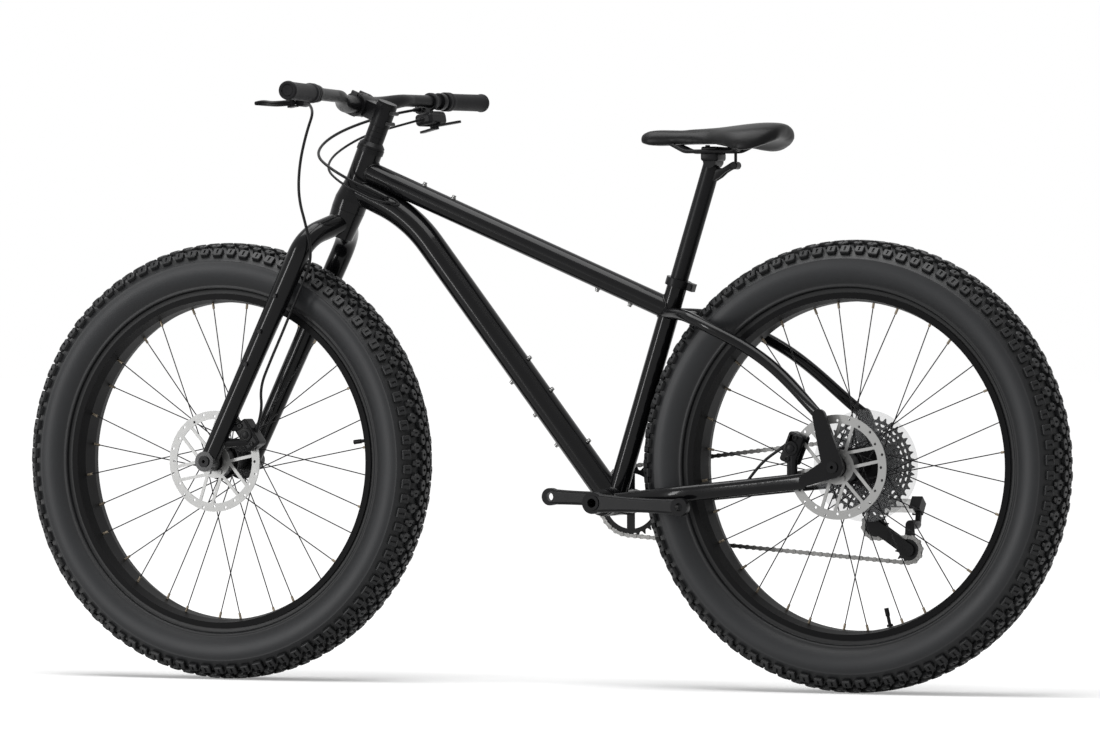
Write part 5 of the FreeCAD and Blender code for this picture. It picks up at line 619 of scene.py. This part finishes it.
def bevel(bm, edges, width, segments):
    """Rounds edges of a mesh, or cuts them with one segment."""
    bmesh.ops.bevel(
        bm, geom=edges, offset=width, offset_type="OFFSET", segments=segments,
        profile=0.5, affect="EDGES", material=-1,
    )


def subdivide(piece):
    """Live smoothing of a piece."""
    rounder = piece.modifiers.new("Rounding", "SUBSURF")
    rounder.levels = 1
    rounder.render_levels = 1


def round_edges(piece, width, segments, degrees):
    """Live rounding of the edges that are sharper than an angle."""
    rounder = piece.modifiers.new("Rounding", "BEVEL")
    rounder.width = width
    rounder.segments = segments
    rounder.limit_method = "ANGLE"
    rounder.angle_limit = math.radians(degrees)


def knob_mesh(length, width, corner, sizes):
    """One tread knob, its top at the origin: cut corners, sloping edges and a slit across it."""
    bm = bmesh.new()
    bmesh.ops.create_cube(bm, size=1.0)
    height = sizes.knob_height
    bmesh.ops.scale(bm, vec=(length, width, height), verts=bm.verts)
    rises = [(edge, abs(edge.verts[0].co.z - edge.verts[1].co.z)) for edge in bm.edges]
    bevel(bm, [edge for edge, rise in rises if rise > height / 2], corner, 1)
    bmesh.ops.translate(bm, vec=(0, 0, -height / 2), verts=bm.verts)
    bm.faces.ensure_lookup_table()
    foot = min(bm.faces, key=lambda face: face.calc_center_median().z)
    bmesh.ops.delete(bm, geom=[foot], context="FACES_ONLY")
    top = max(bm.faces, key=lambda face: face.calc_center_median().z)
    edge = sizes.knob_chamfer
    bmesh.ops.translate(bm, vec=(0, 0, -edge), verts=top.verts)
    bmesh.ops.inset_individual(bm, faces=[top], thickness=edge, depth=edge)
    margin = min(length, width) * sizes.slit_margin
    bmesh.ops.inset_individual(bm, faces=[top], thickness=margin, depth=0.0)
    bmesh.ops.scale(bm, vec=(sizes.slit_share, 1, 1), verts=top.verts)
    bmesh.ops.inset_individual(bm, faces=[top], thickness=edge / 2, depth=-sizes.slit_depth)
    return mesh_from("knob", bm)


class BICYCLE_OT_tyres(bpy.types.Operator):
    """Both tyres: a smooth carcass and rings of tread knobs"""

    bl_idname = "bicycle.tyres"
    bl_label = "Tyres"

    # Side of the tyre and how far its rows are turned, as a share of the pitch
    sides = ((1, 0.0), (-1, 0.25))

    def carcass(self, axle, sizes):
        bm = bmesh.new()
        half = [(-side, radius) for radius, side in CARCASS_PROFILE]
        whole = half[::-1] + [(-along, radius) for along, radius in half[1:]]
        turn_profile(bm, whole, axle, CROSSWAYS, sizes.steps)
        return bm

    def tread(self, axle, sizes):
        bm = bmesh.new()
        pitch = FULL_TURN / sizes.pitches
        for side, lean, radius, length, width, corner, turns in TREAD_ROWS:
            mesh = knob_mesh(length, width, corner, sizes)
            for way, shift in self.sides:
                for turn in turns:
                    count = len(bm.verts)
                    bm.from_mesh(mesh)
                    bm.verts.ensure_lookup_table()
                    place = (
                        Matrix.Translation(axle)
                        @ Matrix.Rotation((turn + shift) * pitch, 4, "Y")
                        @ Matrix.Translation((0, side * way, radius))
                        @ Matrix.Rotation(-math.radians(lean) * way, 4, "X")
                    )
                    bmesh.ops.transform(bm, matrix=place, verts=bm.verts[count:])
            bpy.data.meshes.remove(mesh)
        around = bm.verts[:] + bm.edges[:] + bm.faces[:]
        bmesh.ops.spin(
            bm, geom=around, cent=axle, axis=CROSSWAYS, dvec=(0, 0, 0),
            angle=FULL_TURN - pitch, steps=sizes.pitches - 1, use_duplicate=True,
        )
        return bm

    def execute(self, context):
        sizes = context.scene.bicycle.tyre
        rubber = finish_of("Tyre rubber")
        for end, axle in (("front", FRONT_AXLE), ("rear", REAR_AXLE)):
            body, node = end + "_wheel", end + "_tyre"
            carcass = new_piece(
                node + "_carcass", self.carcass(axle, sizes), rubber, body, "tyre_rubber", node,
                sharp_degrees=60.0,
            )
            subdivide(carcass)
            new_piece(
                node + "_knobs", self.tread(axle, sizes), rubber, body, "tyre_rubber", node,
                sharp_degrees=20.0,
            )
        return {"FINISHED"}


class BICYCLE_OT_grips(bpy.types.Operator):
    """Both grips, turned about the bar's ends"""

    bl_idname = "bicycle.grips"
    bl_label = "Grips"

    steps = 40
    edge_width = 0.0003
    edge_degrees = 30.0

    def execute(self, context):
        rubber = finish_of("Grip rubber")
        profile = [(-along, radius) for along, radius in GRIP_PROFILE]
        for name, way in (("left_grip", 1), ("right_grip", -1)):
            bm = bmesh.new()
            turn_profile(bm, profile, BAR_TIP, BAR_AHEAD, self.steps)
            if way < 0:
                bmesh.ops.scale(bm, vec=(1, -1, 1), verts=bm.verts)
            grip = new_piece(
                name, bm, rubber, "steering", "grip_rubber", "grips", sharp_degrees=50.0
            )
            round_edges(grip, self.edge_width, 2, self.edge_degrees)
        return {"FINISHED"}


class BICYCLE_OT_saddle(bpy.types.Operator):
    """Padded saddle drawn over its shell, filled by a cloth simulation"""

    bl_idname = "bicycle.saddle"
    bl_label = "Saddle"

    voxel = 0.0030
    pressure = 4.0
    stiffness = 60.0
    last_frame = 20
    most_move = 0.0025
    ease_factor = 0.5
    ease_rounds = 24

    def execute(self, context):
        bm = bmesh.new()
        for node in ("saddle_cover", "saddle_shell"):
            bm.from_mesh(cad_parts[node].data)
        bmesh.ops.remove_doubles(bm, verts=bm.verts, dist=MERGE_DISTANCE)
        mesh = mesh_from("saddle_pad", bm)
        pad = settle("saddle_pad", mesh, finish_of("Saddle skin"), None, None)
        context.view_layer.objects.active = pad
        pad.select_set(True)
        remesh = pad.modifiers.new("Even mesh", "REMESH")
        remesh.mode = "VOXEL"
        remesh.voxel_size = self.voxel
        bpy.ops.object.modifier_apply(modifier=remesh.name)
        self.fill(context, pad)
        smoother = pad.modifiers.new("Ease", "SMOOTH")
        smoother.factor = self.ease_factor
        smoother.iterations = self.ease_rounds
        bpy.ops.object.modifier_apply(modifier=smoother.name)
        smooth_faces(pad.data)
        subdivide(pad)
        pad.select_set(False)
        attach(pad, "saddle")
        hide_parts("saddle_cover", "saddle_shell")
        return {"FINISHED"}

    def fill(self, context, pad):
        """Presses the cover outwards and caps how far a point may move."""
        start = [vert.co.copy() for vert in pad.data.vertices]
        cloth = pad.modifiers.new("Filling", "CLOTH")
        cloth.settings.use_pressure = True
        cloth.settings.uniform_pressure_force = self.pressure
        cloth.settings.effector_weights.gravity = 0.0
        cloth.settings.tension_stiffness = self.stiffness
        cloth.settings.compression_stiffness = self.stiffness
        cloth.point_cache.frame_end = self.last_frame
        for number in range(1, self.last_frame + 1):
            context.scene.frame_set(number)
        filled = pad.evaluated_get(context.evaluated_depsgraph_get())
        moved = [vert.co.copy() for vert in filled.data.vertices]
        pad.modifiers.remove(cloth)
        context.scene.frame_set(1)
        for vert, before, after in zip(pad.data.vertices, start, moved):
            step = after - before
            if step.length > self.most_move:
                step *= self.most_move / step.length
            vert.co = before + step


class BICYCLE_OT_saddle_clamp(bpy.types.Operator):
    """Rounded cradles that hold the saddle's rails, and the post's yoke behind them"""

    bl_idname = "bicycle.saddle_clamp"
    bl_label = "Saddle clamp"

    # Lowest and highest corner of each block, and the rounding of its edges
    blocks = (
        ((-0.3530, -0.0215, 0.9170), (-0.3206, 0.0215, 0.9337), 0.0052),
        ((-0.3515, -0.0215, 0.9347), (-0.3221, 0.0215, 0.9425), 0.0032),
        ((-0.3860, -0.0085, 0.9340), (-0.3190, 0.0085, 0.9415), 0.0030),
    )
    # Bolts: place ahead, foot, top of the shank, top of the head
    bolts = ((-0.3262, 0.9250, 0.9415, 0.9455), (-0.3790, 0.9105, 0.9415, 0.9450))
    shank_radius = 0.0026
    head_radius = 0.0044
    barrel = Vector((-0.3790, 0.0, 0.9095))
    barrel_radius = 0.0068
    barrel_half = 0.0105
    # Outline of an arm from the post's back to the barrel, ahead and up
    arm = (
        (-0.3360, 0.8800), (-0.3520, 0.8890), (-0.3620, 0.8975), (-0.3720, 0.9030),
        (-0.3800, 0.9030), (-0.3810, 0.9160), (-0.3740, 0.9150), (-0.3580, 0.9055),
        (-0.3360, 0.9020),
    )
    arm_inside = 0.0036
    arm_thickness = 0.0058
    bolt_steps = 20
    barrel_steps = 32

    def bevel_solid(self, bm, verts, rounding, segments):
        """Rounds every edge of one solid of the mesh."""
        bevel(bm, [edge for edge in bm.edges if edge.verts[0] in verts], rounding, segments)

    def cradles(self):
        bm = bmesh.new()
        for low, high, rounding in self.blocks:
            low, high = Vector(low), Vector(high)
            made = bmesh.ops.create_cube(bm, size=1.0)["verts"]
            bmesh.ops.scale(bm, vec=high - low, verts=made)
            bmesh.ops.translate(bm, vec=(low + high) / 2, verts=made)
            self.bevel_solid(bm, made, rounding, 4)
        for ahead, foot, shoulder, top in self.bolts:
            head, neck, end = top - shoulder, shoulder - foot, top - foot
            profile = (
                (0.0, 0.0), (0.0, self.shank_radius), (neck, self.shank_radius),
                (neck, self.head_radius), (end - head / 4, self.head_radius),
                (end, self.head_radius - head / 4), (end, self.shank_radius),
                (end - head / 2, self.shank_radius), (end - head / 2, 0.0),
            )
            turn_profile(bm, profile, Vector((ahead, 0.0, foot)), UPRIGHT, self.bolt_steps)
        return bm

    def yoke(self):
        bm = bmesh.new()
        for way in (1, -1):
            start = [bm.verts.new((ahead, self.arm_inside * way, up)) for ahead, up in self.arm]
            face = bm.faces.new(start)
            raised = bmesh.ops.extrude_face_region(bm, geom=[face], use_keep_orig=True)
            end = [item for item in raised["geom"] if isinstance(item, bmesh.types.BMVert)]
            bmesh.ops.translate(bm, vec=(0, self.arm_thickness * way, 0), verts=end)
            self.bevel_solid(bm, start + end, self.arm_thickness / 4, 2)
        half, radius, edge = self.barrel_half, self.barrel_radius, self.barrel_radius / 5
        profile = (
            (-half, 0.0), (-half, radius - edge), (edge - half, radius),
            (half - edge, radius), (half, radius - edge), (half, 0.0),
        )
        turn_profile(bm, profile, self.barrel, CROSSWAYS, self.barrel_steps)
        return bm

    def execute(self, context):
        satin = finish_of("Satin black")
        new_piece(
            "saddle_cradles", self.cradles(), satin, "saddle_clamp", "satin_alloy", "saddle_clamp"
        )
        new_piece("post_yoke", self.yoke(), satin, "seatpost", "satin_alloy")
        return {"FINISHED"}


class BICYCLE_OT_hoses(bpy.types.Operator):
    """Brake hoses and shift housing with their end boots"""

    bl_idname = "bicycle.hoses"
    bl_label = "Hoses and housing"

    line_order = 3
    line_resolution = 8
    round_resolution = 3
    # Boot from the fitting outwards: distance along the hose and share of the hose's radius
    boot_profile = (
        (-0.0040, 0.0), (-0.0040, 1.75), (0.0035, 1.75), (0.0042, 1.62), (0.0050, 1.62),
        (0.0056, 1.5), (0.0130, 1.38), (0.0140, 1.25), (0.0142, 0.98),
    )
    boot_steps = 24

    def line(self, name, route, diameter):
        """Smooth round line along a route's control points."""
        curve, spline = curve_through(name, "NURBS", route, diameter / 2, self.round_resolution)
        spline.order_u = self.line_order
        spline.use_endpoint_u = True
        spline.resolution_u = self.line_resolution
        curve.use_fill_caps = True
        return curve

    def mesh_of(self, name, curve):
        """The mesh that a curve makes."""
        holder = link_object(name, curve)
        bpy.context.view_layer.update()
        seen = holder.evaluated_get(bpy.context.evaluated_depsgraph_get())
        mesh = bpy.data.meshes.new_from_object(seen)
        bpy.data.objects.remove(holder)
        mesh.name = name
        return mesh

    def boot(self, name, start, towards, radius, body):
        """Stepped boot over a hose's end."""
        axis = (Vector(towards) - Vector(start)).normalized()
        bm = bmesh.new()
        profile = [(along, radius * share) for along, share in self.boot_profile]
        turn_profile(bm, profile, Vector(start), axis, self.boot_steps)
        new_piece(name, bm, finish_of("Moulded plastic"), body, "black_plastic")

    def execute(self, context):
        sizes = context.scene.bicycle.hoses
        sleeve = finish_of("Hose sleeve")
        hose, housing = sizes.hose, sizes.housing
        fixed = (
            ("front_hose", FRONT_HOSE_ROUTE, hose, 0.695, "steering", "front_brake_hose"),
            ("rear_hose_tail", REAR_HOSE_TAIL_ROUTE, hose, 0.1066, "frame", "rear_brake_hose"),
            ("housing_tail", HOUSING_TAIL_ROUTE, housing, 0.0841, "frame", "shift_housing"),
        )
        for name, route, diameter, length, body, node in fixed:
            curve = self.line(name, route, diameter)
            piece = settle(name, curve, sleeve, body, "hose_sleeve", node)
        loops = (
            ("rear_hose_loop", REAR_HOSE_ROUTE, hose, 0.4674, "rear_brake_hose"),
            ("housing_loop", HOUSING_ROUTE, housing, 0.4309, "shift_housing"),
        )
        for name, route, diameter, length, node in loops:
            bare = self.line(name + "_line", route, 0.0)
            path = [vert.co.copy() for vert in self.mesh_of(name + "_line", bare).vertices]
            mesh = self.mesh_of(name, self.line(name, route, diameter))
            smooth_faces(mesh)
            mesh.materials.clear()
            piece = settle(name, mesh, sleeve, None, "hose_sleeve", node)
            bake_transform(piece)
        # Boots: the route's end and the point next to it
        boots = (
            ("front_hose_boot", FRONT_HOSE_ROUTE[:2], hose, "steering"),
            ("front_caliper_boot", FRONT_HOSE_ROUTE[:-3:-1], hose, "steering"),
            ("rear_hose_boot", REAR_HOSE_ROUTE[:2], hose, "steering"),
            ("rear_caliper_boot", REAR_HOSE_TAIL_ROUTE[:-3:-1], hose, "frame"),
            ("shifter_boot", HOUSING_ROUTE[:2], housing, "steering"),
            ("derailleur_ferrule", HOUSING_TAIL_ROUTE[:-3:-1], housing, "frame"),
        )
        for name, (start, towards), diameter, body in boots:
            self.boot(name, start, towards, diameter / 2, body)
        return {"FINISHED"}


class BICYCLE_OT_caliper_caps(bpy.types.Operator):
    """Piston cover and two bolts on the outer side of each brake caliper"""

    bl_idname = "bicycle.caliper_caps"
    bl_label = "Caliper caps"

    # Middle of a caliper's outer side, the axle that it stands round, and its body
    places = (
        ("front_caliper_cap", (0.5335, 0.0780, 0.4375), FRONT_AXLE, "steering"),
        ("rear_caliper_cap", (-0.5252, 0.1015, 0.4218), REAR_AXLE, "frame"),
    )
    bolt_reach = 0.0195
    # Height over the caliper's side and radius, from the rim to the middle
    cover = (
        (-0.0030, 0.0125), (0.0012, 0.0125), (0.0026, 0.0116), (0.0028, 0.0096), (0.0018, 0.0090),
        (0.0018, 0.0070), (0.0034, 0.0062), (0.0040, 0.0040), (0.0042, 0.0),
    )
    bolt = (
        (-0.0030, 0.0046), (0.0024, 0.0046), (0.0030, 0.0040), (0.0030, 0.0024), (0.0012, 0.0022),
        (0.0012, 0.0),
    )
    cover_steps = 32
    bolt_steps = 20

    def execute(self, context):
        satin = finish_of("Satin black")
        for name, place, axle, body in self.places:
            middle = Vector(place)
            outward = Vector((middle.x - axle.x, 0.0, middle.z - axle.z)).normalized()
            along = CROSSWAYS.cross(outward)
            bm = bmesh.new()
            turn_profile(bm, self.cover, middle, CROSSWAYS, self.cover_steps)
            for way in (1, -1):
                centre = middle + along * self.bolt_reach * way
                turn_profile(bm, self.bolt, centre, CROSSWAYS, self.bolt_steps)
            new_piece(name, bm, satin, body, "satin_alloy", sharp_degrees=30.0)
        return {"FINISHED"}


class BICYCLE_OT_weld_beads(bpy.types.Operator):
    """Rippled weld beads where the frame's tubes meet"""

    bl_idname = "bicycle.weld_beads"
    bl_label = "Weld beads"

    # Half width that the head tube still meets, longest way to the joint, how much longer than the
    # tube's round the bead is, misses that still make a bead, and the narrow part of a ripple
    widest = 0.0174
    ray_length = 0.3
    stretch = 1.25
    most_misses = 4
    narrow = 0.8

    # Tube that ends, a point on its axis, its direction to the joint, its radius, and what it meets
    joints = (
        ("top_tube_head", (0.20, 0.8511), (0.92205, 0.38706), 0.0195, "head_tube"),
        ("top_tube_seat", (-0.12, 0.7167), (-0.92205, -0.38706), 0.0195, "seat_tube"),
        ("down_tube_head", (0.262, 0.8323), (0.9063, 0.4226), 0.0240, "head_tube"),
        ("down_tube_bracket", (-0.05, 0.4508), (-0.6184, -0.7859), 0.0240, "bottom_bracket_shell"),
        ("seat_tube_bracket", (-0.1802, 0.4205), (0.3007, -0.9537), 0.0177, "bottom_bracket_shell"),
    )

    def execute(self, context):
        sizes = context.scene.bicycle.weld
        paint = finish_of("Gloss paint")
        graph = context.evaluated_depsgraph_get()
        for name, place, way, radius, target in self.joints:
            tree = BVHTree.FromObject(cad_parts[target], graph)
            centre = Vector((place[0], 0.0, place[1]))
            axis = Vector((way[0], 0.0, way[1])).normalized()
            other = axis.cross(CROSSWAYS)
            steps = 2 * int(FULL_TURN * radius * self.stretch / sizes.ripple)
            points = []
            for step in range(steps):
                turn = FULL_TURN * step / steps
                start = centre + (CROSSWAYS * math.cos(turn) + other * math.sin(turn)) * radius
                start.y = max(-self.widest, min(self.widest, start.y))
                hit = tree.ray_cast(start, axis, self.ray_length)[0]
                if hit is not None:
                    points.append(hit)
            if len(points) < steps - self.most_misses:
                raise RuntimeError(f"weld {name} misses {target}: {len(points)} of {steps}")
            bead = "weld_" + name
            curve, spline = curve_through(bead, "POLY", points, sizes.bead_radius, 1)
            for point in spline.points[:][::2]:
                point.radius = self.narrow
            spline.use_cyclic_u = True
            settle(bead, curve, paint, "frame", "frame_paint")
        return {"FINISHED"}


class BICYCLE_OT_cable_port(bpy.types.Operator):
    """Oval grommet where the hoses enter the down tube"""

    bl_idname = "bicycle.cable_port"
    bl_label = "Cable port"

    centre = Vector((0.2735, 0.0190, 0.8518))
    outward = Vector((-0.2397, 0.8276, 0.5095))
    along = Vector((-0.9063, 0.0, -0.4226))
    half_length = 0.0165
    half_width = 0.0068
    height = 0.0045
    sunk = 0.003
    segments = 32
    # Steps of the lip from the outside inwards: width and rise
    lip = ((0.0011, 0.0008), (0.0011, 0.0), (0.0003, -0.0022))

    def execute(self, context):
        bm = bmesh.new()
        bmesh.ops.create_circle(bm, cap_ends=True, segments=self.segments, radius=1.0)
        bmesh.ops.scale(bm, vec=(self.half_length, self.half_width, 1.0), verts=bm.verts)
        wall = bmesh.ops.extrude_face_region(bm, geom=bm.faces[:])["geom"]
        raised = [item for item in wall if isinstance(item, bmesh.types.BMVert)]
        top = [item for item in wall if isinstance(item, bmesh.types.BMFace)]
        bmesh.ops.translate(bm, vec=(0, 0, self.height), verts=raised)
        for width, rise in self.lip:
            bmesh.ops.inset_region(bm, faces=top, thickness=width, depth=rise)
        outward = self.outward.normalized()
        sideways = outward.cross(self.along).normalized()
        ahead = sideways.cross(outward)
        turn = Matrix((ahead, sideways, outward)).transposed().to_4x4()
        place = Matrix.Translation(self.centre - outward * self.sunk) @ turn
        bmesh.ops.transform(bm, matrix=place, verts=bm.verts)
        new_piece("cable_port", bm, finish_of("Moulded plastic"), "frame", "black_plastic")
        return {"FINISHED"}


class BICYCLE_OT_finishes(bpy.types.Operator):
    """Finishes and rounded edges of the pieces that the frame brings"""

    bl_idname = "bicycle.finishes"
    bl_label = "Finishes"

    nodes = (
        ("Gloss paint", FRAME_PAINTED),
        ("Satin black", SATIN_METAL),
        ("Bright steel", BRIGHT_METAL),
        ("Moulded plastic", MOULDED_PLASTIC),
        ("Rim black", ("front_rim", "rear_rim")),
        ("Rotor steel", ("front_rotor", "rear_rotor")),
        ("Spoke steel", ("front_spokes", "rear_spokes")),
        ("Sprocket steel", ("cassette",)),
        ("Chain steel", ("chain",)),
        ("Polished alloy", ("derailleur_outer_link", "derailleur_inner_link")),
        ("Tyre rubber", ("front_tyre", "rear_tyre")),
        ("Grip rubber", ("grips",)),
        ("Saddle skin", ("saddle_cover",)),
        ("Hose sleeve", ("front_brake_hose", "rear_brake_hose", "shift_housing")),
    )
    # Faces of the rear hub farther out than this are its spoke guard
    guard_radius = 0.040
    flat_degrees = 1.0
    edge_degrees = 38.0

    def round_fitting(self, node, width):
        """Live rounding of a fitting's edges, after its flat triangles are joined."""
        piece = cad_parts[node]
        weld = piece.modifiers.new("Join corners", "WELD")
        weld.merge_threshold = MERGE_DISTANCE
        flats = piece.modifiers.new("Join flats", "DECIMATE")
        flats.decimate_type = "DISSOLVE"
        flats.angle_limit = math.radians(self.flat_degrees)
        round_edges(piece, width, 3, self.edge_degrees)

    def execute(self, context):
        for name, nodes in self.nodes:
            for node in nodes:
                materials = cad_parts[node].data.materials
                materials.clear()
                materials.append(finish_of(name))
        for node, width in ROUNDED:
            self.round_fitting(node, width)
        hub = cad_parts["rear_hub"].data
        hub.materials.append(finish_of("Clear plastic"))
        for face in hub.polygons:
            reach = face.center - REAR_AXLE
            if math.hypot(reach.x, reach.z) > self.guard_radius:
                face.material_index = 1
        return {"FINISHED"}


class BICYCLE_OT_stage(bpy.types.Operator):
    """White floor and surroundings, soft lights and the camera"""

    bl_idname = "bicycle.stage"
    bl_label = "Stage"

    # Lights: place, point that it faces, width and length
    top_light = ((0.2, 0.6, 3.4), (0.0, 0.0, 0.6), 3.6, 2.2)
    side_light = ((3.5, 4.9, 1.4), (0.0, 0.0, 0.7), 0.8, 2.6)
    # Floor: its grey, the squared height that the top light's fall goes by, and its glow
    floor_grey = (0.66, 0.66, 0.66, 1)
    floor_rough = 0.9
    lit_square = 13.0
    near_glow = 0.21
    most_glow = 0.86
    # Camera: point that it faces, turn and rise in degrees, distance, sensor in millimetres, reach
    aim = Vector((-0.02535, 0.0, 0.5602))
    azimuth = 24.476
    rise = 0.349
    distance = 12.510
    sensor = 36.0
    farthest = 400.0

    def seen_rays(self, tree):
        """1 for rays that should meet plain white."""
        path = tree.nodes.new("ShaderNodeLightPath")
        camera, glossy, through = (
            path.outputs[f"Is {kind} Ray"] for kind in ("Camera", "Glossy", "Transmission")
        )
        return math_node(tree, "MAXIMUM", math_node(tree, "MAXIMUM", camera, glossy), through)

    def surroundings(self, look):
        world = bpy.data.worlds.new("Surroundings")
        bpy.context.scene.world = world
        world.use_nodes = True
        tree = world.node_tree
        fill = tree.nodes["Background"]
        set_inputs(fill, Color=(1, 1, 1, 1))
        level = spread(tree, self.seen_rays(tree), look.fill, 1.0)
        tree.links.new(level, fill.inputs["Strength"])

    def far_glow(self, tree):
        """Glow that makes up for the top light's fall over the floor."""
        place = tree.nodes.new("ShaderNodeTexCoord")
        reach = tree.nodes.new("ShaderNodeVectorMath")
        reach.operation = "DISTANCE"
        reach.inputs[1].default_value = (*self.top_light[0][:2], 0.0)
        tree.links.new(place.outputs["Object"], reach.inputs[0])
        square = math_node(tree, "POWER", reach.outputs["Value"], 2.0)
        slant = math_node(tree, "ADD", square, self.lit_square)
        lit = math_node(tree, "DIVIDE", self.lit_square, slant)
        share = math_node(tree, "SUBTRACT", 1.0, math_node(tree, "POWER", lit, 2.0))
        return spread(tree, share, self.near_glow, self.most_glow)

    def floor(self, look):
        bm = bmesh.new()
        bmesh.ops.create_grid(bm, x_segments=1, y_segments=1, size=look.floor_size / 2)
        material = bpy.data.materials.new("Pale floor")
        material.use_nodes = True
        tree = material.node_tree
        shader = tree.nodes["Principled BSDF"]
        set_inputs(
            shader, Base_Color=self.floor_grey, Roughness=self.floor_rough, Specular_IOR_Level=0.0,
            Emission_Color=(1, 1, 1, 1),
        )
        glow = math_node(tree, "MULTIPLY", self.seen_rays(tree), self.far_glow(tree))
        tree.links.new(glow, shader.inputs["Emission Strength"])
        floor = settle("floor", mesh_from("floor", bm), material, None, None)

    def show(self, name, data, place, target):
        """Puts a light or the camera in its place, facing its target."""
        shown = link_object(name, data)
        shown.location = place
        facing = Vector(target) - Vector(place)
        shown.rotation_euler = facing.to_track_quat("-Z", "Y").to_euler()
        return shown

    def lamp(self, name, place, target, width, length, power):
        data = bpy.data.lights.new(name, "AREA")
        data.shape = "RECTANGLE"
        data.size = width
        data.size_y = length
        data.energy = power
        self.show(name, data, place, target)

    def camera(self, look):
        data = bpy.data.cameras.new("camera")
        data.lens = look.lens
        data.sensor_width = self.sensor
        data.clip_end = self.farthest
        azimuth, rise = math.radians(self.azimuth), math.radians(self.rise)
        level = math.cos(rise)
        away = Vector((-math.sin(azimuth) * level, math.cos(azimuth) * level, math.sin(rise)))
        place = self.aim + away * self.distance
        bpy.context.scene.camera = self.show("camera", data, place, self.aim)

    def execute(self, context):
        look = context.scene.bicycle.stage
        self.surroundings(look)
        self.floor(look)
        self.lamp("top_light", *self.top_light, look.top_power)
        self.lamp("side_light", *self.side_light, look.side_power)
        self.camera(look)
        context.scene.view_settings.view_transform = "Standard"
        return {"FINISHED"}


class BICYCLE_PT_pieces(bpy.types.Panel):
    """Sidebar list of the bicycle's pieces"""

    bl_idname = "BICYCLE_PT_pieces"
    bl_label = "Fat tyre bicycle"
    bl_space_type = "VIEW_3D"
    bl_region_type = "UI"
    bl_category = "Bicycle"

    def draw(self, context):
        look = context.scene.bicycle
        for operator in OPERATORS:
            self.layout.operator(operator.bl_idname)
        for group in (look.tyre, look.weld, look.hoses, look.colours, look.stage):
            box = self.layout.box()
            for prop in group.bl_rna.properties:
                if prop.identifier not in ("rna_type", "name"):
                    box.prop(group, prop.identifier)


OPERATORS = (
    BICYCLE_OT_finishes,
    BICYCLE_OT_tyres,
    BICYCLE_OT_grips,
    BICYCLE_OT_saddle,
    BICYCLE_OT_saddle_clamp,
    BICYCLE_OT_hoses,
    BICYCLE_OT_caliper_caps,
    BICYCLE_OT_weld_beads,
    BICYCLE_OT_cable_port,
    BICYCLE_OT_stage,
)
CLASSES = (
    TyreSizes, WeldSizes, HoseSizes, FinishColours, StageLook, BicycleLook, *OPERATORS,
    BICYCLE_PT_pieces,
)


def register():
    for item in CLASSES:
        bpy.utils.register_class(item)
    bpy.types.Scene.bicycle = PointerProperty(type=BicycleLook)


def unregister():
    del bpy.types.Scene.bicycle
    for item in reversed(CLASSES):
        bpy.utils.unregister_class(item)


def main():
    register()
    bpy.ops.bicycle.finishes()
    bpy.ops.bicycle.tyres()
    bpy.ops.bicycle.grips()
    bpy.ops.bicycle.saddle()
    bpy.ops.bicycle.saddle_clamp()
    bpy.ops.bicycle.hoses()
    bpy.ops.bicycle.caliper_caps()
    bpy.ops.bicycle.weld_beads()
    bpy.ops.bicycle.cable_port()
    bpy.ops.bicycle.stage()


if __name__ == "__main__":
    main()
